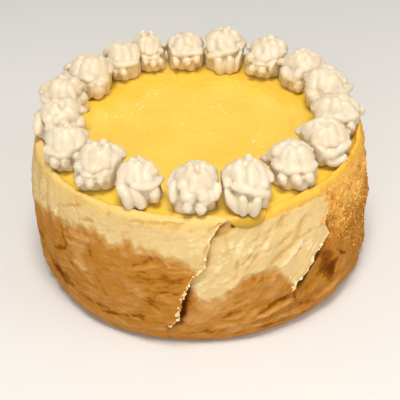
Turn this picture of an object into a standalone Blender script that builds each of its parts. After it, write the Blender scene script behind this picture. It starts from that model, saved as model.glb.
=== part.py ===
"""A whole tall cheesecake: a baked body with a raised rim, a lemon curd top and a ring of piped cream.

Metres, +Z up. The flat base lies on Z = 0 and the cake stands round the Z axis. An azimuth is in
degrees: 0 faces -Y and it grows towards +X.
"""

import math
import random

import bpy
import numpy as np

# Baked body.
CAKE_RADIUS = 0.076  # the nominal pan radius, from which wave counts are worked out
BELLY_RADIUS = 0.0770  # the widest ring of the side
BELLY_HEIGHT = 0.019
SIDE_CURVE = 2.5  # how fast the side draws in away from the belly, per metre
FOOT_TUCK = 0.0034  # how far the side curls in at the base
FOOT_ROUND = 0.0023
RIM_HEIGHT = 0.0624  # crest of the rim at the front
SIDE_RISE = 0.0018  # the rim stands higher left and right
RIGHT_RISE = 0.0014
RIM_WIDTH = 0.0030  # from the curd's edge to the outside of the rim
FLOOR_DROP = 0.0038  # from the curd's level down to the hollow's floor
# Heights of the side's rows, as shares of the way up to the rim.
SIDE_SHARES = (1.0, 0.93, 0.84, 0.74, 0.64, 0.54, 0.44, 0.34, 0.25, 0.16, 0.09, 0.04, 0.0)

# Lemon curd.
CURD_LEVEL = 0.0616
CURD_RADIUS = 0.0694
CURD_EDGE_GAP = 0.0006
CURD_LIFT = 0.0007  # of the curd's thin edge off the slope and the rim
DRIP_AZIMUTH = 14.6
DRIP_HALF_ANGLE = 5.9
DRIP_LENGTH = 0.0072  # along the rim and the side, from the curd's level
DRIP_THICKNESS = 0.0014
NOTCH_DEPTH = 0.0013  # the rim's dip under the drip

# Piped cream.
CREAM_HEIGHT = 0.0155
# A dollop is three tiers: short legs, a thick ledge and a ridged bulb. Each has its middle, its half
# height, its radius and the depth of its ridges, as shares of the dollop's height and half width.
TIERS = ((0.10, 0.27, 0.90, 0.34), (0.39, 0.16, 1.03, 0.15), (0.62, 0.39, 0.86, 0.25))
COLUMNS_PER_RIDGE = 4
CREAM_SHARES = (0, 0.12, 0.255, 0.39, 0.50, 0.66, 0.82, 0.93, 0.985)  # heights of the rows

CLEARANCE = 0.0003  # gap between touching pieces
SEAT_STEP = 2.0  # degrees between rows of the table of seat heights
SEAT_AZIMUTHS = np.arange(0, 360, SEAT_STEP)
SEAT_RADII = np.arange(0.040, 0.0765, 0.0004)
SEAT_SPREAD = 6  # how many radii to each side a seat counts

# One row for each dollop, from the front round to the right: azimuth, ring radius and width as shares
# of the cake's radius, height as a share of CREAM_HEIGHT, ridges, twist of the ridges in degrees,
# lean of the peak (right, outward) as shares of the half width, and height of the crown of prongs.
DOLLOPS = (
    (-2.0, 0.795, 0.295, 1.00, 7, 20, (0.05, -0.05), 0.16),
    (17.4, 0.816, 0.292, 1.02, 7, 8, (0.00, -0.05), 0.04),
    (39.7, 0.775, 0.312, 1.00, 6, -14, (-0.05, -0.08), 0.04),
    (61.0, 0.778, 0.312, 1.00, 7, 16, (-0.12, 0.05), 0.06),
    (83.1, 0.800, 0.300, 0.98, 6, 24, (-0.05, -0.10), 0.05),
    (105.4, 0.804, 0.300, 1.00, 7, -18, (0.08, 0.00), 0.08),
    (125.9, 0.806, 0.290, 1.00, 6, 14, (0.00, 0.10), 0.08),
    (146.1, 0.800, 0.295, 1.02, 7, 20, (-0.08, 0.05), 0.12),
    (167.2, 0.805, 0.305, 1.06, 7, -12, (0.05, 0.10), 0.16),
    (185.2, 0.795, 0.290, 1.00, 6, 18, (-0.06, -0.05), 0.05),
    (201.6, 0.825, 0.240, 1.06, 6, 10, (0.10, 0.05), 0.20),
    (215.0, 0.830, 0.265, 1.02, 6, 22, (0.05, -0.06), 0.05),
    (235.1, 0.822, 0.310, 1.04, 7, -16, (-0.04, 0.00), 0.08),
    (255.0, 0.816, 0.305, 1.00, 7, 12, (0.10, 0.05), 0.06),
    (276.5, 0.796, 0.310, 1.04, 7, 20, (0.00, -0.10), 0.06),
    (297.0, 0.812, 0.290, 1.02, 6, -20, (0.08, 0.06), 0.05),
    (315.9, 0.772, 0.300, 1.02, 7, 16, (0.14, -0.08), 0.16),
    (337.0, 0.792, 0.270, 1.05, 6, 26, (-0.06, -0.05), 0.05),
)


def smooth(start, end, value):
    share = np.clip((value - start) / (end - start), 0, 1)
    return share * share * (3 - 2 * share)


def bump(value, half_width):
    """1 at zero, falling smoothly to 0 at the half width."""
    return 0.5 + 0.5 * np.cos(np.pi * np.clip(value / half_width, -1, 1))


def wrapped(azimuth):
    return (np.asarray(azimuth, float) + 180) % 360 - 180


def ripples(azimuth, height, length, seed):
    """Seamless unevenness of about -1 to 1, from waves roughly this long that cross at all angles."""
    draw = random.Random(seed)
    total = 0
    waves = 10
    for _ in range(waves):
        slant = draw.uniform(0, math.pi)
        wave = 2 * math.pi / (length * draw.uniform(0.7, 1.6))
        turns = round(math.cos(slant) * wave * CAKE_RADIUS)
        phase = draw.uniform(0, 2 * math.pi)
        total = total + np.sin(turns * np.radians(azimuth) + math.sin(slant) * wave * height + phase)
    return total * math.sqrt(2 / waves) / 1.6


# Two tears run down the front, each the frayed edge of a skin that overlaps what is right of it.
def left_tear(height):
    """Azimuth of the tear that falls from the drip down to the left."""
    heights = (0.010, 0.017, 0.024, 0.032, 0.040, 0.050, 0.059)
    return np.interp(height, heights, (-12, -9.5, -7, -6, -2, 2, 10))


def right_tear(height):
    """Azimuth of the tear that falls from the right rim down to the front."""
    heights = (0.020, 0.027, 0.033, 0.038, 0.046, 0.051, 0.058)
    return np.interp(height, heights, (27, 29, 34, 37.5, 40, 45, 41))


LEFT_TEAR_MIDDLE, LEFT_TEAR_REACH = -2.0, 26.0
RIGHT_TEAR_MIDDLE, RIGHT_TEAR_REACH = 37.0, 15.0


def leaned(azimuth, height):
    """Leans the mesh's columns so that one of them follows each tear."""
    azimuth = wrapped(azimuth)
    left = (left_tear(height) - LEFT_TEAR_MIDDLE) * bump(azimuth - LEFT_TEAR_MIDDLE, LEFT_TEAR_REACH)
    right = (right_tear(height) - RIGHT_TEAR_MIDDLE) * bump(azimuth - RIGHT_TEAR_MIDDLE, RIGHT_TEAR_REACH)
    return azimuth + left + right


def relief(azimuth, height):
    """How far the side stands out of its plain form, in metres."""
    azimuth = wrapped(azimuth)
    low = 1 - smooth(0.030, 0.044, height)
    total = 0.0008 * ripples(azimuth, height, 0.055, 3)
    # Each skin stands proud along its frayed edge, over a furrow.
    from_left = azimuth - left_tear(height)
    skin = np.where(from_left <= 0.3, bump(from_left, 24), 0)
    furrow = np.where(from_left > 0.3, bump(from_left - 2.5, 3.5), 0)
    total += smooth(0.004, 0.014, height) * (0.0012 * skin - (0.0006 + 0.0018 * low) * furrow)
    from_right = azimuth - right_tear(height)
    skin = np.where(from_right <= 0.3, bump(from_right, 14), 0)
    hollow = np.where(from_right > 0.3, bump(from_right - 5, 9), 0)
    total += smooth(0.014, 0.024, height) * (0.0010 * skin - 0.0017 * hollow)
    # Shallow slanting runs in the pale skin between the tears.
    between = bump(azimuth - 20, 22) * smooth(0.012, 0.030, height)
    total += 0.0003 * between * np.sin(math.tau * (azimuth / 7.5 - height / 0.030))
    # Folds pressed into the base, rising to the right.
    folded = bump(azimuth - 34, 34) * bump(height - 0.011, 0.016)
    total += 0.0011 * folded * np.sin(math.tau * (height / 0.0085 - azimuth / 48))
    # Upright wrinkles on the left, and along the back.
    wrinkled = bump(azimuth + 66, 26) + 0.7 * bump(wrapped(azimuth + 140), 30)
    total += 0.0006 * wrinkled * np.sin(math.tau * (azimuth / 8.5 + height / 0.080))
    # Crumbly crust on the right and behind.
    crusty = smooth(42, 54, azimuth) + (1 - smooth(-176, -160, azimuth))
    total += 0.0006 * np.clip(crusty, 0, 1) * ripples(azimuth, height, 0.013, 5)
    return total


def side_radius(azimuth, height):
    form = BELLY_RADIUS - SIDE_CURVE * (height - BELLY_HEIGHT) ** 2 - FOOT_TUCK * np.exp(-height / FOOT_ROUND)
    near_rim = 1 - smooth(0.052, 0.061, height)
    near_foot = 0.35 + 0.65 * smooth(0.0, 0.005, height)
    return form + relief(azimuth, height) * (0.25 + 0.75 * near_rim) * near_foot


def notch(azimuth):
    """1 under the drip, 0 well beside it."""
    return 1 - smooth(1.0, 2.1, np.abs(wrapped(azimuth - DRIP_AZIMUTH)) / DRIP_HALF_ANGLE)


def rim_height(azimuth):
    turn = np.sin(np.radians(azimuth))
    height = RIM_HEIGHT + SIDE_RISE * turn**2 + RIGHT_RISE * np.maximum(turn, 0) ** 2
    height = height + 0.0004 * ripples(azimuth, 0, 0.030, 7)
    return height - (NOTCH_DEPTH + height - RIM_HEIGHT) * notch(azimuth)


def curd_edge(azimuth):
    return CURD_RADIUS + 0.0009 * ripples(azimuth, 0, 0.070, 11) + 0.0006 * bump(wrapped(azimuth) + 10, 14)


def body_outline(azimuth, side_heights):
    """(radius, height) down the body at one azimuth: hollow, rim, side and foot."""
    edge = float(curd_edge(azimuth))
    crest = float(rim_height(azimuth))
    floor = CURD_LEVEL - FLOOR_DROP
    points = [
        (0.5 * edge, floor),
        (edge - 0.0060, floor),
        (edge - 0.0025, CURD_LEVEL - 0.0018),
        (edge, min(CURD_LEVEL, crest - 0.0004)),
        (edge + 0.35 * RIM_WIDTH, crest - 0.0001),
        (edge + 0.70 * RIM_WIDTH, crest - 0.0002),
    ]
    for share in side_heights:
        height = share * (crest - 0.0014)
        lean = float(leaned(azimuth, height))
        points.append((float(side_radius(lean, height)), height))
    return points


def place(radius, azimuth, height):
    angle = math.radians(azimuth)
    return (radius * math.sin(angle), -radius * math.cos(angle), height)


def grid_mesh(name, rings, first_pole, last_pole):
    """A closed mesh from rings of equal length, each end closed to a pole point."""
    columns = len(rings[0])
    points = [first_pole] + [point for ring in rings for point in ring] + [last_pole]
    last = len(points) - 1
    faces = []
    for column in range(columns):
        beside = (column + 1) % columns
        faces.append((0, 1 + column, 1 + beside))
        for row in range(len(rings) - 1):
            upper = 1 + row * columns
            lower = upper + columns
            faces.append((upper + column, lower + column, lower + beside, upper + beside))
        bottom = 1 + (len(rings) - 1) * columns
        faces.append((bottom + column, last, bottom + beside))
    mesh = bpy.data.meshes.new(name)
    mesh.from_pydata(points, [], faces)
    mesh.validate()
    return mesh


def add_object(name, mesh, material):
    mesh.shade_smooth()
    mesh.set_sharp_from_angle(angle=math.radians(50))
    mesh.materials.append(material)
    piece = bpy.data.objects.new(name, mesh)
    bpy.context.collection.objects.link(piece)
    return piece


def make_material(name, colour, roughness):
    material = bpy.data.materials.new(name)
    material.use_nodes = True
    shader = material.node_tree.nodes["Principled BSDF"]
    shader.inputs["Base Color"].default_value = (*colour, 1)
    shader.inputs["Roughness"].default_value = roughness
    shader.inputs["Metallic"].default_value = 0
    return material


def once_round(fine, coarse_step):
    """The fine azimuths, and coarser ones for the rest of the way round."""
    count = round((360 - (fine[-1] - fine[0])) / coarse_step)
    return np.concatenate([fine, np.linspace(fine[-1], fine[0] + 360, count, endpoint=False)[1:]])


def build_body(material):
    azimuths = once_round(np.arange(-78, 63, 2.5), 5.0)
    outlines = [body_outline(azimuth, SIDE_SHARES) for azimuth in azimuths]
    side_start = len(outlines[0]) - len(SIDE_SHARES)
    rings = []
    for row in range(len(outlines[0])):
        ring = []
        for azimuth, outline in zip(azimuths, outlines):
            radius, height = outline[row]
            seat = float(leaned(azimuth, height)) if row >= side_start else azimuth
            ring.append(place(radius, seat, height))
        rings.append(ring)
    floor = (0, 0, CURD_LEVEL - FLOOR_DROP)
    return add_object("cheesecake", grid_mesh("cheesecake", rings, floor, (0, 0, 0)), material)


def flow_outline(azimuth):
    """The body's outline from the hollow's slope out over the rim, with its length so far at each point."""
    points = np.array(body_outline(azimuth, SIDE_SHARES[:5])[2:])
    steps = np.hypot(*np.diff(points, axis=0).T)
    return points, np.concatenate([[0], np.cumsum(steps)])


def curd_outline(azimuth, flow_rows):
    """The curd's top and underside at one azimuth, as lists of (radius, height) from the middle outwards."""
    edge = float(curd_edge(azimuth))
    points, lengths = flow_outline(azimuth)
    across = min(abs(float(wrapped(azimuth - DRIP_AZIMUTH))) / DRIP_HALF_ANGLE, 1)
    overflow = math.sqrt(1 - across**2)
    at_level = float(lengths[1])
    end = at_level - CURD_EDGE_GAP + overflow * (DRIP_LENGTH + CURD_EDGE_GAP)
    floor = CURD_LEVEL - FLOOR_DROP + CLEARANCE
    top = [(0.5 * edge, CURD_LEVEL)]
    under = [(edge - 0.0064, floor)]
    for row in range(flow_rows):
        share = row / (flow_rows - 1)
        length = share * end
        radius = float(np.interp(length, lengths, points[:, 0]))
        height = float(np.interp(length, lengths, points[:, 1]))
        before, after = length - 0.0012, length + 0.0012
        along = (
            np.interp(after, lengths, points[:, 0]) - np.interp(before, lengths, points[:, 0]),
            np.interp(after, lengths, points[:, 1]) - np.interp(before, lengths, points[:, 1]),
        )
        size = math.hypot(*along)
        out = (-along[1] / size, along[0] / size)
        over = float(smooth(lengths[1] + 0.0008, lengths[1] + 0.0035, length))
        tilt = (over * out[0], over * out[1] + (1 - over))
        lift = CURD_LIFT * (1 + 1.8 * over)
        bulge = lift + DRIP_THICKNESS * (0.62 + 0.38 * math.sin(math.pi * share**2)) - 0.0006 * share**6
        upright = max(CURD_LEVEL - height, lift + 0.0004)
        thick = (1 - over) * upright + over * bulge
        top.append((radius + tilt[0] * thick, height + tilt[1] * thick))
        under.append((radius + out[0] * lift, height + out[1] * lift))
    return top, under


def build_curd(material):
    across = np.sin(np.radians(np.arange(-90, 91, 15)))
    azimuths = once_round(DRIP_AZIMUTH + DRIP_HALF_ANGLE * across, 7.5)
    outlines = [curd_outline(azimuth, 5) for azimuth in azimuths]
    rings = []
    for side in (0, 1):
        for row in range(len(outlines[0][side])):
            rings.append([place(o[side][row][0], a, o[side][row][1]) for a, o in zip(azimuths, outlines)])
    top_rows = len(outlines[0][0])
    rings = rings[:top_rows] + rings[top_rows:][::-1]
    middle = (0, 0, CURD_LEVEL)
    under = (0, 0, CURD_LEVEL - FLOOR_DROP + CLEARANCE)
    return add_object("lemon_curd", grid_mesh("lemon_curd", rings, middle, under), material)


def seat_table():
    """Heights that the dollops stay above: the curd's, and the rim's outside it, spread a little sideways."""
    heights = np.empty((len(SEAT_AZIMUTHS), len(SEAT_RADII)))
    for row, azimuth in enumerate(SEAT_AZIMUTHS):
        body = np.array(body_outline(azimuth, (1.0,)))
        top = np.array(curd_outline(azimuth, 9)[0])
        widest = int(top[:, 0].argmax())
        curd = np.interp(SEAT_RADII, top[: widest + 1, 0], top[: widest + 1, 1], right=0)
        heights[row] = np.maximum(np.interp(SEAT_RADII, body[:, 0], body[:, 1]), curd)
    wide = np.max([np.roll(heights, shift, axis=0) for shift in (-2, -1, 0, 1, 2)], axis=0)
    padded = np.pad(wide, ((0, 0), (SEAT_SPREAD, SEAT_SPREAD)), mode="edge")
    count = len(SEAT_RADII)
    return np.max([padded[:, shift : shift + count] for shift in range(2 * SEAT_SPREAD + 1)], axis=0)


def seat_height(table, azimuth, radius):
    """The table's height at these places, between its rows and columns."""
    rows, columns = table.shape
    across = np.clip((radius - SEAT_RADII[0]) / (SEAT_RADII[1] - SEAT_RADII[0]), 0, columns - 1.001)
    around = azimuth % 360 / SEAT_STEP
    row, column = np.floor(around).astype(int), np.floor(across).astype(int)
    row_share, column_share = around - row, across - column
    near = table[row % rows, column] * (1 - column_share) + table[row % rows, column + 1] * column_share
    row = row + 1
    far = table[row % rows, column] * (1 - column_share) + table[row % rows, column + 1] * column_share
    return near + (far - near) * row_share


def soft_above(value, softness):
    """About the value where it is well above zero, and never below zero."""
    return 0.5 * (value + np.hypot(value, softness))


class Dollop:
    """One piped star of cream: its form, in shares of its half width and height, and its seat on the cake."""

    def __init__(self, number, row, before, after):
        self.azimuth, ring, width, tall, self.ridges, self.twist, self.lean, self.crown = row
        self.ring = ring * CAKE_RADIUS
        self.half_width = width * CAKE_RADIUS / 2
        self.height = tall * CREAM_HEIGHT
        self.limits = (before, after)
        draw = random.Random(100 + number)
        self.phase = draw.uniform(0, 360)
        self.reach = np.array([draw.uniform(0.92, 1.08) for _ in range(self.ridges)])
        cuts = [(k + draw.uniform(-0.14, 0.14)) / self.ridges for k in range(self.ridges)]
        self.cuts = np.array(cuts + [cuts[0] + 1])
        self.sway = [draw.uniform(0, math.tau) for _ in range(4)]

    def form(self, share, turn):
        """(right, outward, up) at these shares of the height and of a turn."""
        ridge = np.clip(np.searchsorted(self.cuts, turn, side="right") - 1, 0, self.ridges - 1)
        within = (turn - self.cuts[ridge]) / (self.cuts[ridge + 1] - self.cuts[ridge])
        rounded = np.abs(np.sin(np.pi * within)) ** 0.75
        angle = np.radians(self.phase + self.twist * share) + math.tau * turn
        # The tiers tilt and spread a little unevenly.
        tilt = 0.05 * np.sin(angle + self.sway[0]) + 0.03 * np.sin(2 * angle + self.sway[1])
        level = share - tilt * (1 - smooth(0.55, 0.85, share))
        spread = 1 + 0.05 * np.sin(angle + self.sway[2]) + 0.03 * np.sin(3 * angle + self.sway[3])
        total, depths = 1e-12, 0
        for middle, half, radius, depth in TIERS:
            weight = (radius * np.sqrt(np.maximum(1 - ((level - middle) / half) ** 2, 0))) ** 10
            total = total + weight
            depths = depths + weight * depth
        ridged = (1 - depths / total * (1 - rounded)) * (1 + (self.reach[ridge] - 1) * rounded)
        wide = total**0.1 * spread * ridged
        leaning = share**1.5
        right = wide * np.cos(angle) + self.lean[0] * leaning
        outward = wide * np.sin(angle) + self.lean[1] * leaning
        return right, outward, share + self.crown * rounded * bump(share - 0.82, 0.3)

    def settle(self, form, seats):
        """Places the form on the cake, clear of its seat and of its neighbours."""
        right = self.half_width * form[0]
        outward = self.ring + self.half_width * form[1]
        radius = np.hypot(right, outward)
        turn = np.degrees(np.arctan2(right, outward))
        for limit, way in ((self.limits[1] - self.azimuth, 1), (self.azimuth - self.limits[0], -1)):
            room = np.radians(limit - way * turn) * radius - CLEARANCE / 2
            turn = way * (limit - np.degrees((soft_above(room, 0.0006) + CLEARANCE / 2) / radius))
        azimuth = self.azimuth + turn
        seat = seat_height(seats, azimuth, radius) + CLEARANCE
        height = seat + soft_above(CURD_LEVEL + CLEARANCE + self.height * form[2] - seat, 0.0003)
        angle = np.radians(azimuth)
        return np.stack([radius * np.sin(angle), -radius * np.cos(angle), height], axis=-1)


def build_dollop(number, row, before, after, seats, material):
    dollop = Dollop(number, row, before, after)
    within = np.arange(COLUMNS_PER_RIDGE) / COLUMNS_PER_RIDGE
    turns = (dollop.cuts[:-1, None] + np.diff(dollop.cuts)[:, None] * within).ravel()
    rings = []
    for share in CREAM_SHARES[::-1]:
        ring = dollop.settle(dollop.form(np.full(len(turns), share), turns), seats)
        rings.append(ring[::-1].tolist())
    top = (np.array(dollop.lean[0]), np.array(dollop.lean[1]), np.array(1 + 0.4 * dollop.crown))
    peak = dollop.settle(top, seats).tolist()
    foot = place(dollop.ring, dollop.azimuth, CURD_LEVEL + 2 * CLEARANCE)
    name = f"cream_dollop_{number:02d}"
    return add_object(name, grid_mesh(name, rings, peak, foot), material)


def build_cream(material):
    azimuths = [row[0] for row in DOLLOPS]
    count = len(DOLLOPS)
    seats = seat_table()
    for index, row in enumerate(DOLLOPS):
        before = azimuths[index - 1] if index else azimuths[-1] - 360
        after = azimuths[index + 1] if index < count - 1 else azimuths[0] + 360
        build_dollop(index + 1, row, (before + row[0]) / 2, (after + row[0]) / 2, seats, material)


for leftover in list(bpy.data.objects):
    bpy.data.objects.remove(leftover, do_unlink=True)

build_body(make_material("baked_skin", (0.62, 0.34, 0.10), 0.55))
build_curd(make_material("lemon_curd", (0.93, 0.60, 0.07), 0.18))
build_cream(make_material("whipped_cream", (0.87, 0.80, 0.66), 0.45))
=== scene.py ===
"""A whole tall cheesecake, dressed: torn and browned baked skin, glossy lemon curd and piped cream.

Metres, +Z up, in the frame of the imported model. An azimuth is in degrees: 0 faces -Y, the camera, and
it grows towards +X.
"""

import math
import random

import bmesh
import bpy
import numpy as np
from mathutils import Matrix, Vector, noise
from mathutils.bvhtree import BVHTree


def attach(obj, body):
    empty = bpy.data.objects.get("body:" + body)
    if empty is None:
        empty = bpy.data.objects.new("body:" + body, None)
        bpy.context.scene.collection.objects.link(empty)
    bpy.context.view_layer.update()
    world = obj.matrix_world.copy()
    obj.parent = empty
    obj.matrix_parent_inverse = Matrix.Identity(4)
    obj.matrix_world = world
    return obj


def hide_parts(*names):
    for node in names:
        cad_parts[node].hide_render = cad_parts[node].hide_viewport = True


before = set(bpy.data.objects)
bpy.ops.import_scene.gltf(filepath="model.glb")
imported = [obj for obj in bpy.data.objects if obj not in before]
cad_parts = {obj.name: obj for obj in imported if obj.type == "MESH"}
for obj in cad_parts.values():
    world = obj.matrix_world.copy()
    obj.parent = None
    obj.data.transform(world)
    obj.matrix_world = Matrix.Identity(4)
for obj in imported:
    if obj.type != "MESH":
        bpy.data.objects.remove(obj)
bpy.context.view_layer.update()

# The view: a camera held above the front edge and tilted a little, looking down on the cake.
CAMERA_REACH = 0.4164  # from the middle of the base
CAMERA_HEIGHT_ANGLE = 37.65
CAMERA_YAW, CAMERA_PITCH, CAMERA_ROLL = -0.03, 35.40, -1.61
CAMERA_LENS, CAMERA_SENSOR = 76.5, 36.0  # mm


def add_object(name, data):
    made = bpy.data.objects.new(name, data)
    bpy.context.collection.objects.link(made)
    return made


height_angle = math.radians(CAMERA_HEIGHT_ANGLE)
yaw, pitch, roll = (math.radians(angle) for angle in (CAMERA_YAW, CAMERA_PITCH, CAMERA_ROLL))
ahead = Vector((math.sin(yaw) * math.cos(pitch), math.cos(yaw) * math.cos(pitch), -math.sin(pitch)))
level = Vector((math.cos(yaw), -math.sin(yaw), 0))
above = level.cross(ahead)
rolled_right = math.cos(roll) * level + math.sin(roll) * above
rolled_up = math.cos(roll) * above - math.sin(roll) * level
turned = Matrix((rolled_right, rolled_up, -ahead)).transposed().to_4x4()
turned.translation = (0, -CAMERA_REACH * math.cos(height_angle), CAMERA_REACH * math.sin(height_angle))
camera = add_object("camera", bpy.data.cameras.new("camera"))
camera.data.lens = CAMERA_LENS
camera.data.sensor_width = CAMERA_SENSOR
camera.data.clip_start = 0.01
camera.matrix_world = turned
bpy.context.scene.camera = camera
bpy.context.scene.view_settings.view_transform = "Standard"

# The light: a broad soft lamp overhead, weaker ones from the right and in front, and pale surroundings.
LAMPS = (
    # name, place, width, power, colour
    ("lamp_over", (0.00, -0.25, 0.95), 0.32, 7.5, (1.0, 0.97, 0.92)),
    ("lamp_right", (0.85, -0.35, 0.55), 0.50, 1.9, (1.0, 0.96, 0.90)),
    ("lamp_front", (-0.15, -0.80, 0.35), 0.40, 2.3, (1.0, 0.98, 0.95)),
)
LAMP_AIM = (0, 0, 0.04)  # the middle of the cake
SKY_COLOUR, SKY_STRENGTH = (1.0, 0.985, 0.96), 0.38

for name, spot, width, power, colour in LAMPS:
    lamp = add_object(name, bpy.data.lights.new(name, "AREA"))
    lamp.data.size = width
    lamp.data.energy = power
    lamp.data.color = colour
    lamp.location = spot
    lamp.rotation_euler = (Vector(LAMP_AIM) - Vector(spot)).to_track_quat("-Z", "Y").to_euler()
world = bpy.data.worlds.new("surroundings")
world.use_nodes = True
world.node_tree.nodes["Background"].inputs["Color"].default_value = (*SKY_COLOUR, 1)
world.node_tree.nodes["Background"].inputs["Strength"].default_value = SKY_STRENGTH
bpy.context.scene.world = world

# The floor: a wide plain pale sheet, just under the cake's flat base.
FLOOR_HALF, FLOOR_LEVEL = 3.0, -0.0002
FLOOR_COLOUR, FLOOR_ROUGHNESS = (0.70, 0.69, 0.67), 0.7

floor_mesh = bpy.data.meshes.new("floor")
corners = [(x * FLOOR_HALF, y * FLOOR_HALF, FLOOR_LEVEL) for x, y in ((-1, -1), (1, -1), (1, 1), (-1, 1))]
floor_mesh.from_pydata(corners, [], [(0, 1, 2, 3)])
floor_finish = bpy.data.materials.new("pale_floor")
floor_finish.use_nodes = True
floor_shader = floor_finish.node_tree.nodes["Principled BSDF"]
floor_shader.inputs["Base Color"].default_value = (*FLOOR_COLOUR, 1)
floor_shader.inputs["Roughness"].default_value = FLOOR_ROUGHNESS
floor_mesh.materials.append(floor_finish)
floor = add_object("floor", floor_mesh)


# The baked body: a tall cheesecake in its own skin, which stuck to the pan and tore as it came out.
# The skin is brown and wrinkled low down, pale where its face peeled off, and crumbly on the right;
# two frayed tears run down the front, and a rim stands round the curd.
CAKE_RADIUS = 0.076
BELLY_RADIUS, BELLY_HEIGHT = 0.0770, 0.019
SIDE_CURVE = 2.5
FOOT_TUCK, FOOT_ROUND = 0.0034, 0.0023
RIM_HEIGHT = 0.0624
SIDE_RISE, RIGHT_RISE = 0.0018, 0.0014
RIM_WIDTH = 0.0030
CURD_LEVEL, FLOOR_DROP = 0.0616, 0.0038
SLOPE_FOOT = 0.0060  # how far inside the curd's edge the hollow's slope ends
CURD_RADIUS = 0.0694
DRIP_AZIMUTH, DRIP_HALF_ANGLE = 14.4, 6.3
NOTCH_DEPTH = 0.0013
SIDE_ROWS = 128
# The two tears. The mesh has a column for each one's torn edge, and the next column starts the gap beside it.
LEFT_TEAR_MIDDLE, LEFT_TEAR_REACH, LEFT_JAGS = -2.0, 26.0, 21
RIGHT_TEAR_MIDDLE, RIGHT_TEAR_REACH, RIGHT_JAGS = 37.0, 15.0, 22
TEAR_SEAM = 0.02  # degrees from the torn edge's column to the gap's


def smooth(start, end, value):
    share = np.clip((value - start) / (end - start), 0, 1)
    return share * share * (3 - 2 * share)


def bump(value, half_width):
    """1 at zero, falling smoothly to 0 at the half width."""
    return 0.5 + 0.5 * np.cos(np.pi * np.clip(value / half_width, -1, 1))


def wrapped(azimuth):
    return (np.asarray(azimuth, float) + 180) % 360 - 180


def ripples(azimuth, height, length, seed):
    """Seamless unevenness of about -1 to 1, from waves roughly this long that cross at all angles."""
    draw = random.Random(seed)
    total = 0
    waves = 10
    for _ in range(waves):
        slant = draw.uniform(0, math.pi)
        wave = 2 * math.pi / (length * draw.uniform(0.7, 1.6))
        turns = round(math.cos(slant) * wave * CAKE_RADIUS)
        phase = draw.uniform(0, 2 * math.pi)
        total += np.sin(turns * np.radians(azimuth) + math.sin(slant) * wave * height + phase)
    return total * math.sqrt(2 / waves) / 1.6


def grain(points, size, seed, octaves=2):
    """Solid noise of about -1 to 1 at each point, with lumps of roughly this size."""
    shift = Vector((seed * 17.3, seed * 5.1, seed * 9.7))
    scaled = (np.asarray(points).reshape(-1, 3) / size).tolist()
    values = [noise.fractal(Vector(point) + shift, 0.8, 2.0, octaves) for point in scaled]
    return np.array(values).reshape(np.shape(points)[:-1])


def left_tear(height):
    """Azimuth of the tear that falls from the drip down to the left."""
    heights = (0.010, 0.0159, 0.0203, 0.0268, 0.0320, 0.0389, 0.0424, 0.0471, 0.0526, 0.0569, 0.0596, 0.0617)
    return np.interp(height, heights, (-11, -7.8, -7.0, -6.6, -4.9, -2.3, 0.4, 0.8, 2.1, 3.7, 5.9, 8.4))


def right_tear(height):
    """Azimuth of the tear that falls from the right rim down to the front."""
    heights = (0.020, 0.027, 0.033, 0.0371, 0.0395, 0.0435, 0.0489, 0.0510, 0.0538, 0.0580, 0.0615)
    return np.interp(height, heights, (27, 29, 34, 35.8, 38.2, 41.2, 40.4, 43.8, 45.6, 43.5, 41))


def jag(height, seed):
    """The tear's ragged wandering to either side, in degrees."""
    steps = np.arange(0, 0.070, 0.0009)
    draw = random.Random(seed)
    coarse = np.array([draw.uniform(-1, 1) for _ in steps])
    eased = np.convolve(coarse, (0.2, 0.6, 0.2), mode="same")
    wide = np.array([draw.uniform(-1, 1) for _ in steps[::4]])
    return 0.55 * np.interp(height, steps, eased) + 0.6 * np.interp(height, steps[::4], wide)


def leaned(azimuth, height):
    """Azimuth of each column at this height: they lean so that one follows each tear and its jags."""
    azimuth = wrapped(azimuth)
    left, right = azimuth - LEFT_TEAR_MIDDLE, azimuth - RIGHT_TEAR_MIDDLE
    total = azimuth + (left_tear(height) - LEFT_TEAR_MIDDLE) * bump(left, LEFT_TEAR_REACH)
    total += (right_tear(height) - RIGHT_TEAR_MIDDLE) * bump(right, RIGHT_TEAR_REACH)
    return total + jag(height, LEFT_JAGS) * bump(left, 5) + jag(height, RIGHT_JAGS) * bump(right, 5)


def on_skin(from_tear, values):
    """The values on the side of a tear's hanging skin, and 0 beyond its edge."""
    return np.where(from_tear <= TEAR_SEAM / 2, values, 0)


def on_gap(from_tear, values):
    """The values on the side of a tear's gap, and 0 on the hanging skin."""
    return np.where(from_tear > TEAR_SEAM / 2, values, 0)


def waves(azimuth, height, across, up):
    """Even waves with these lengths across, in degrees, and up, in metres."""
    return np.sin(math.tau * (azimuth / across + height / up))


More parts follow.
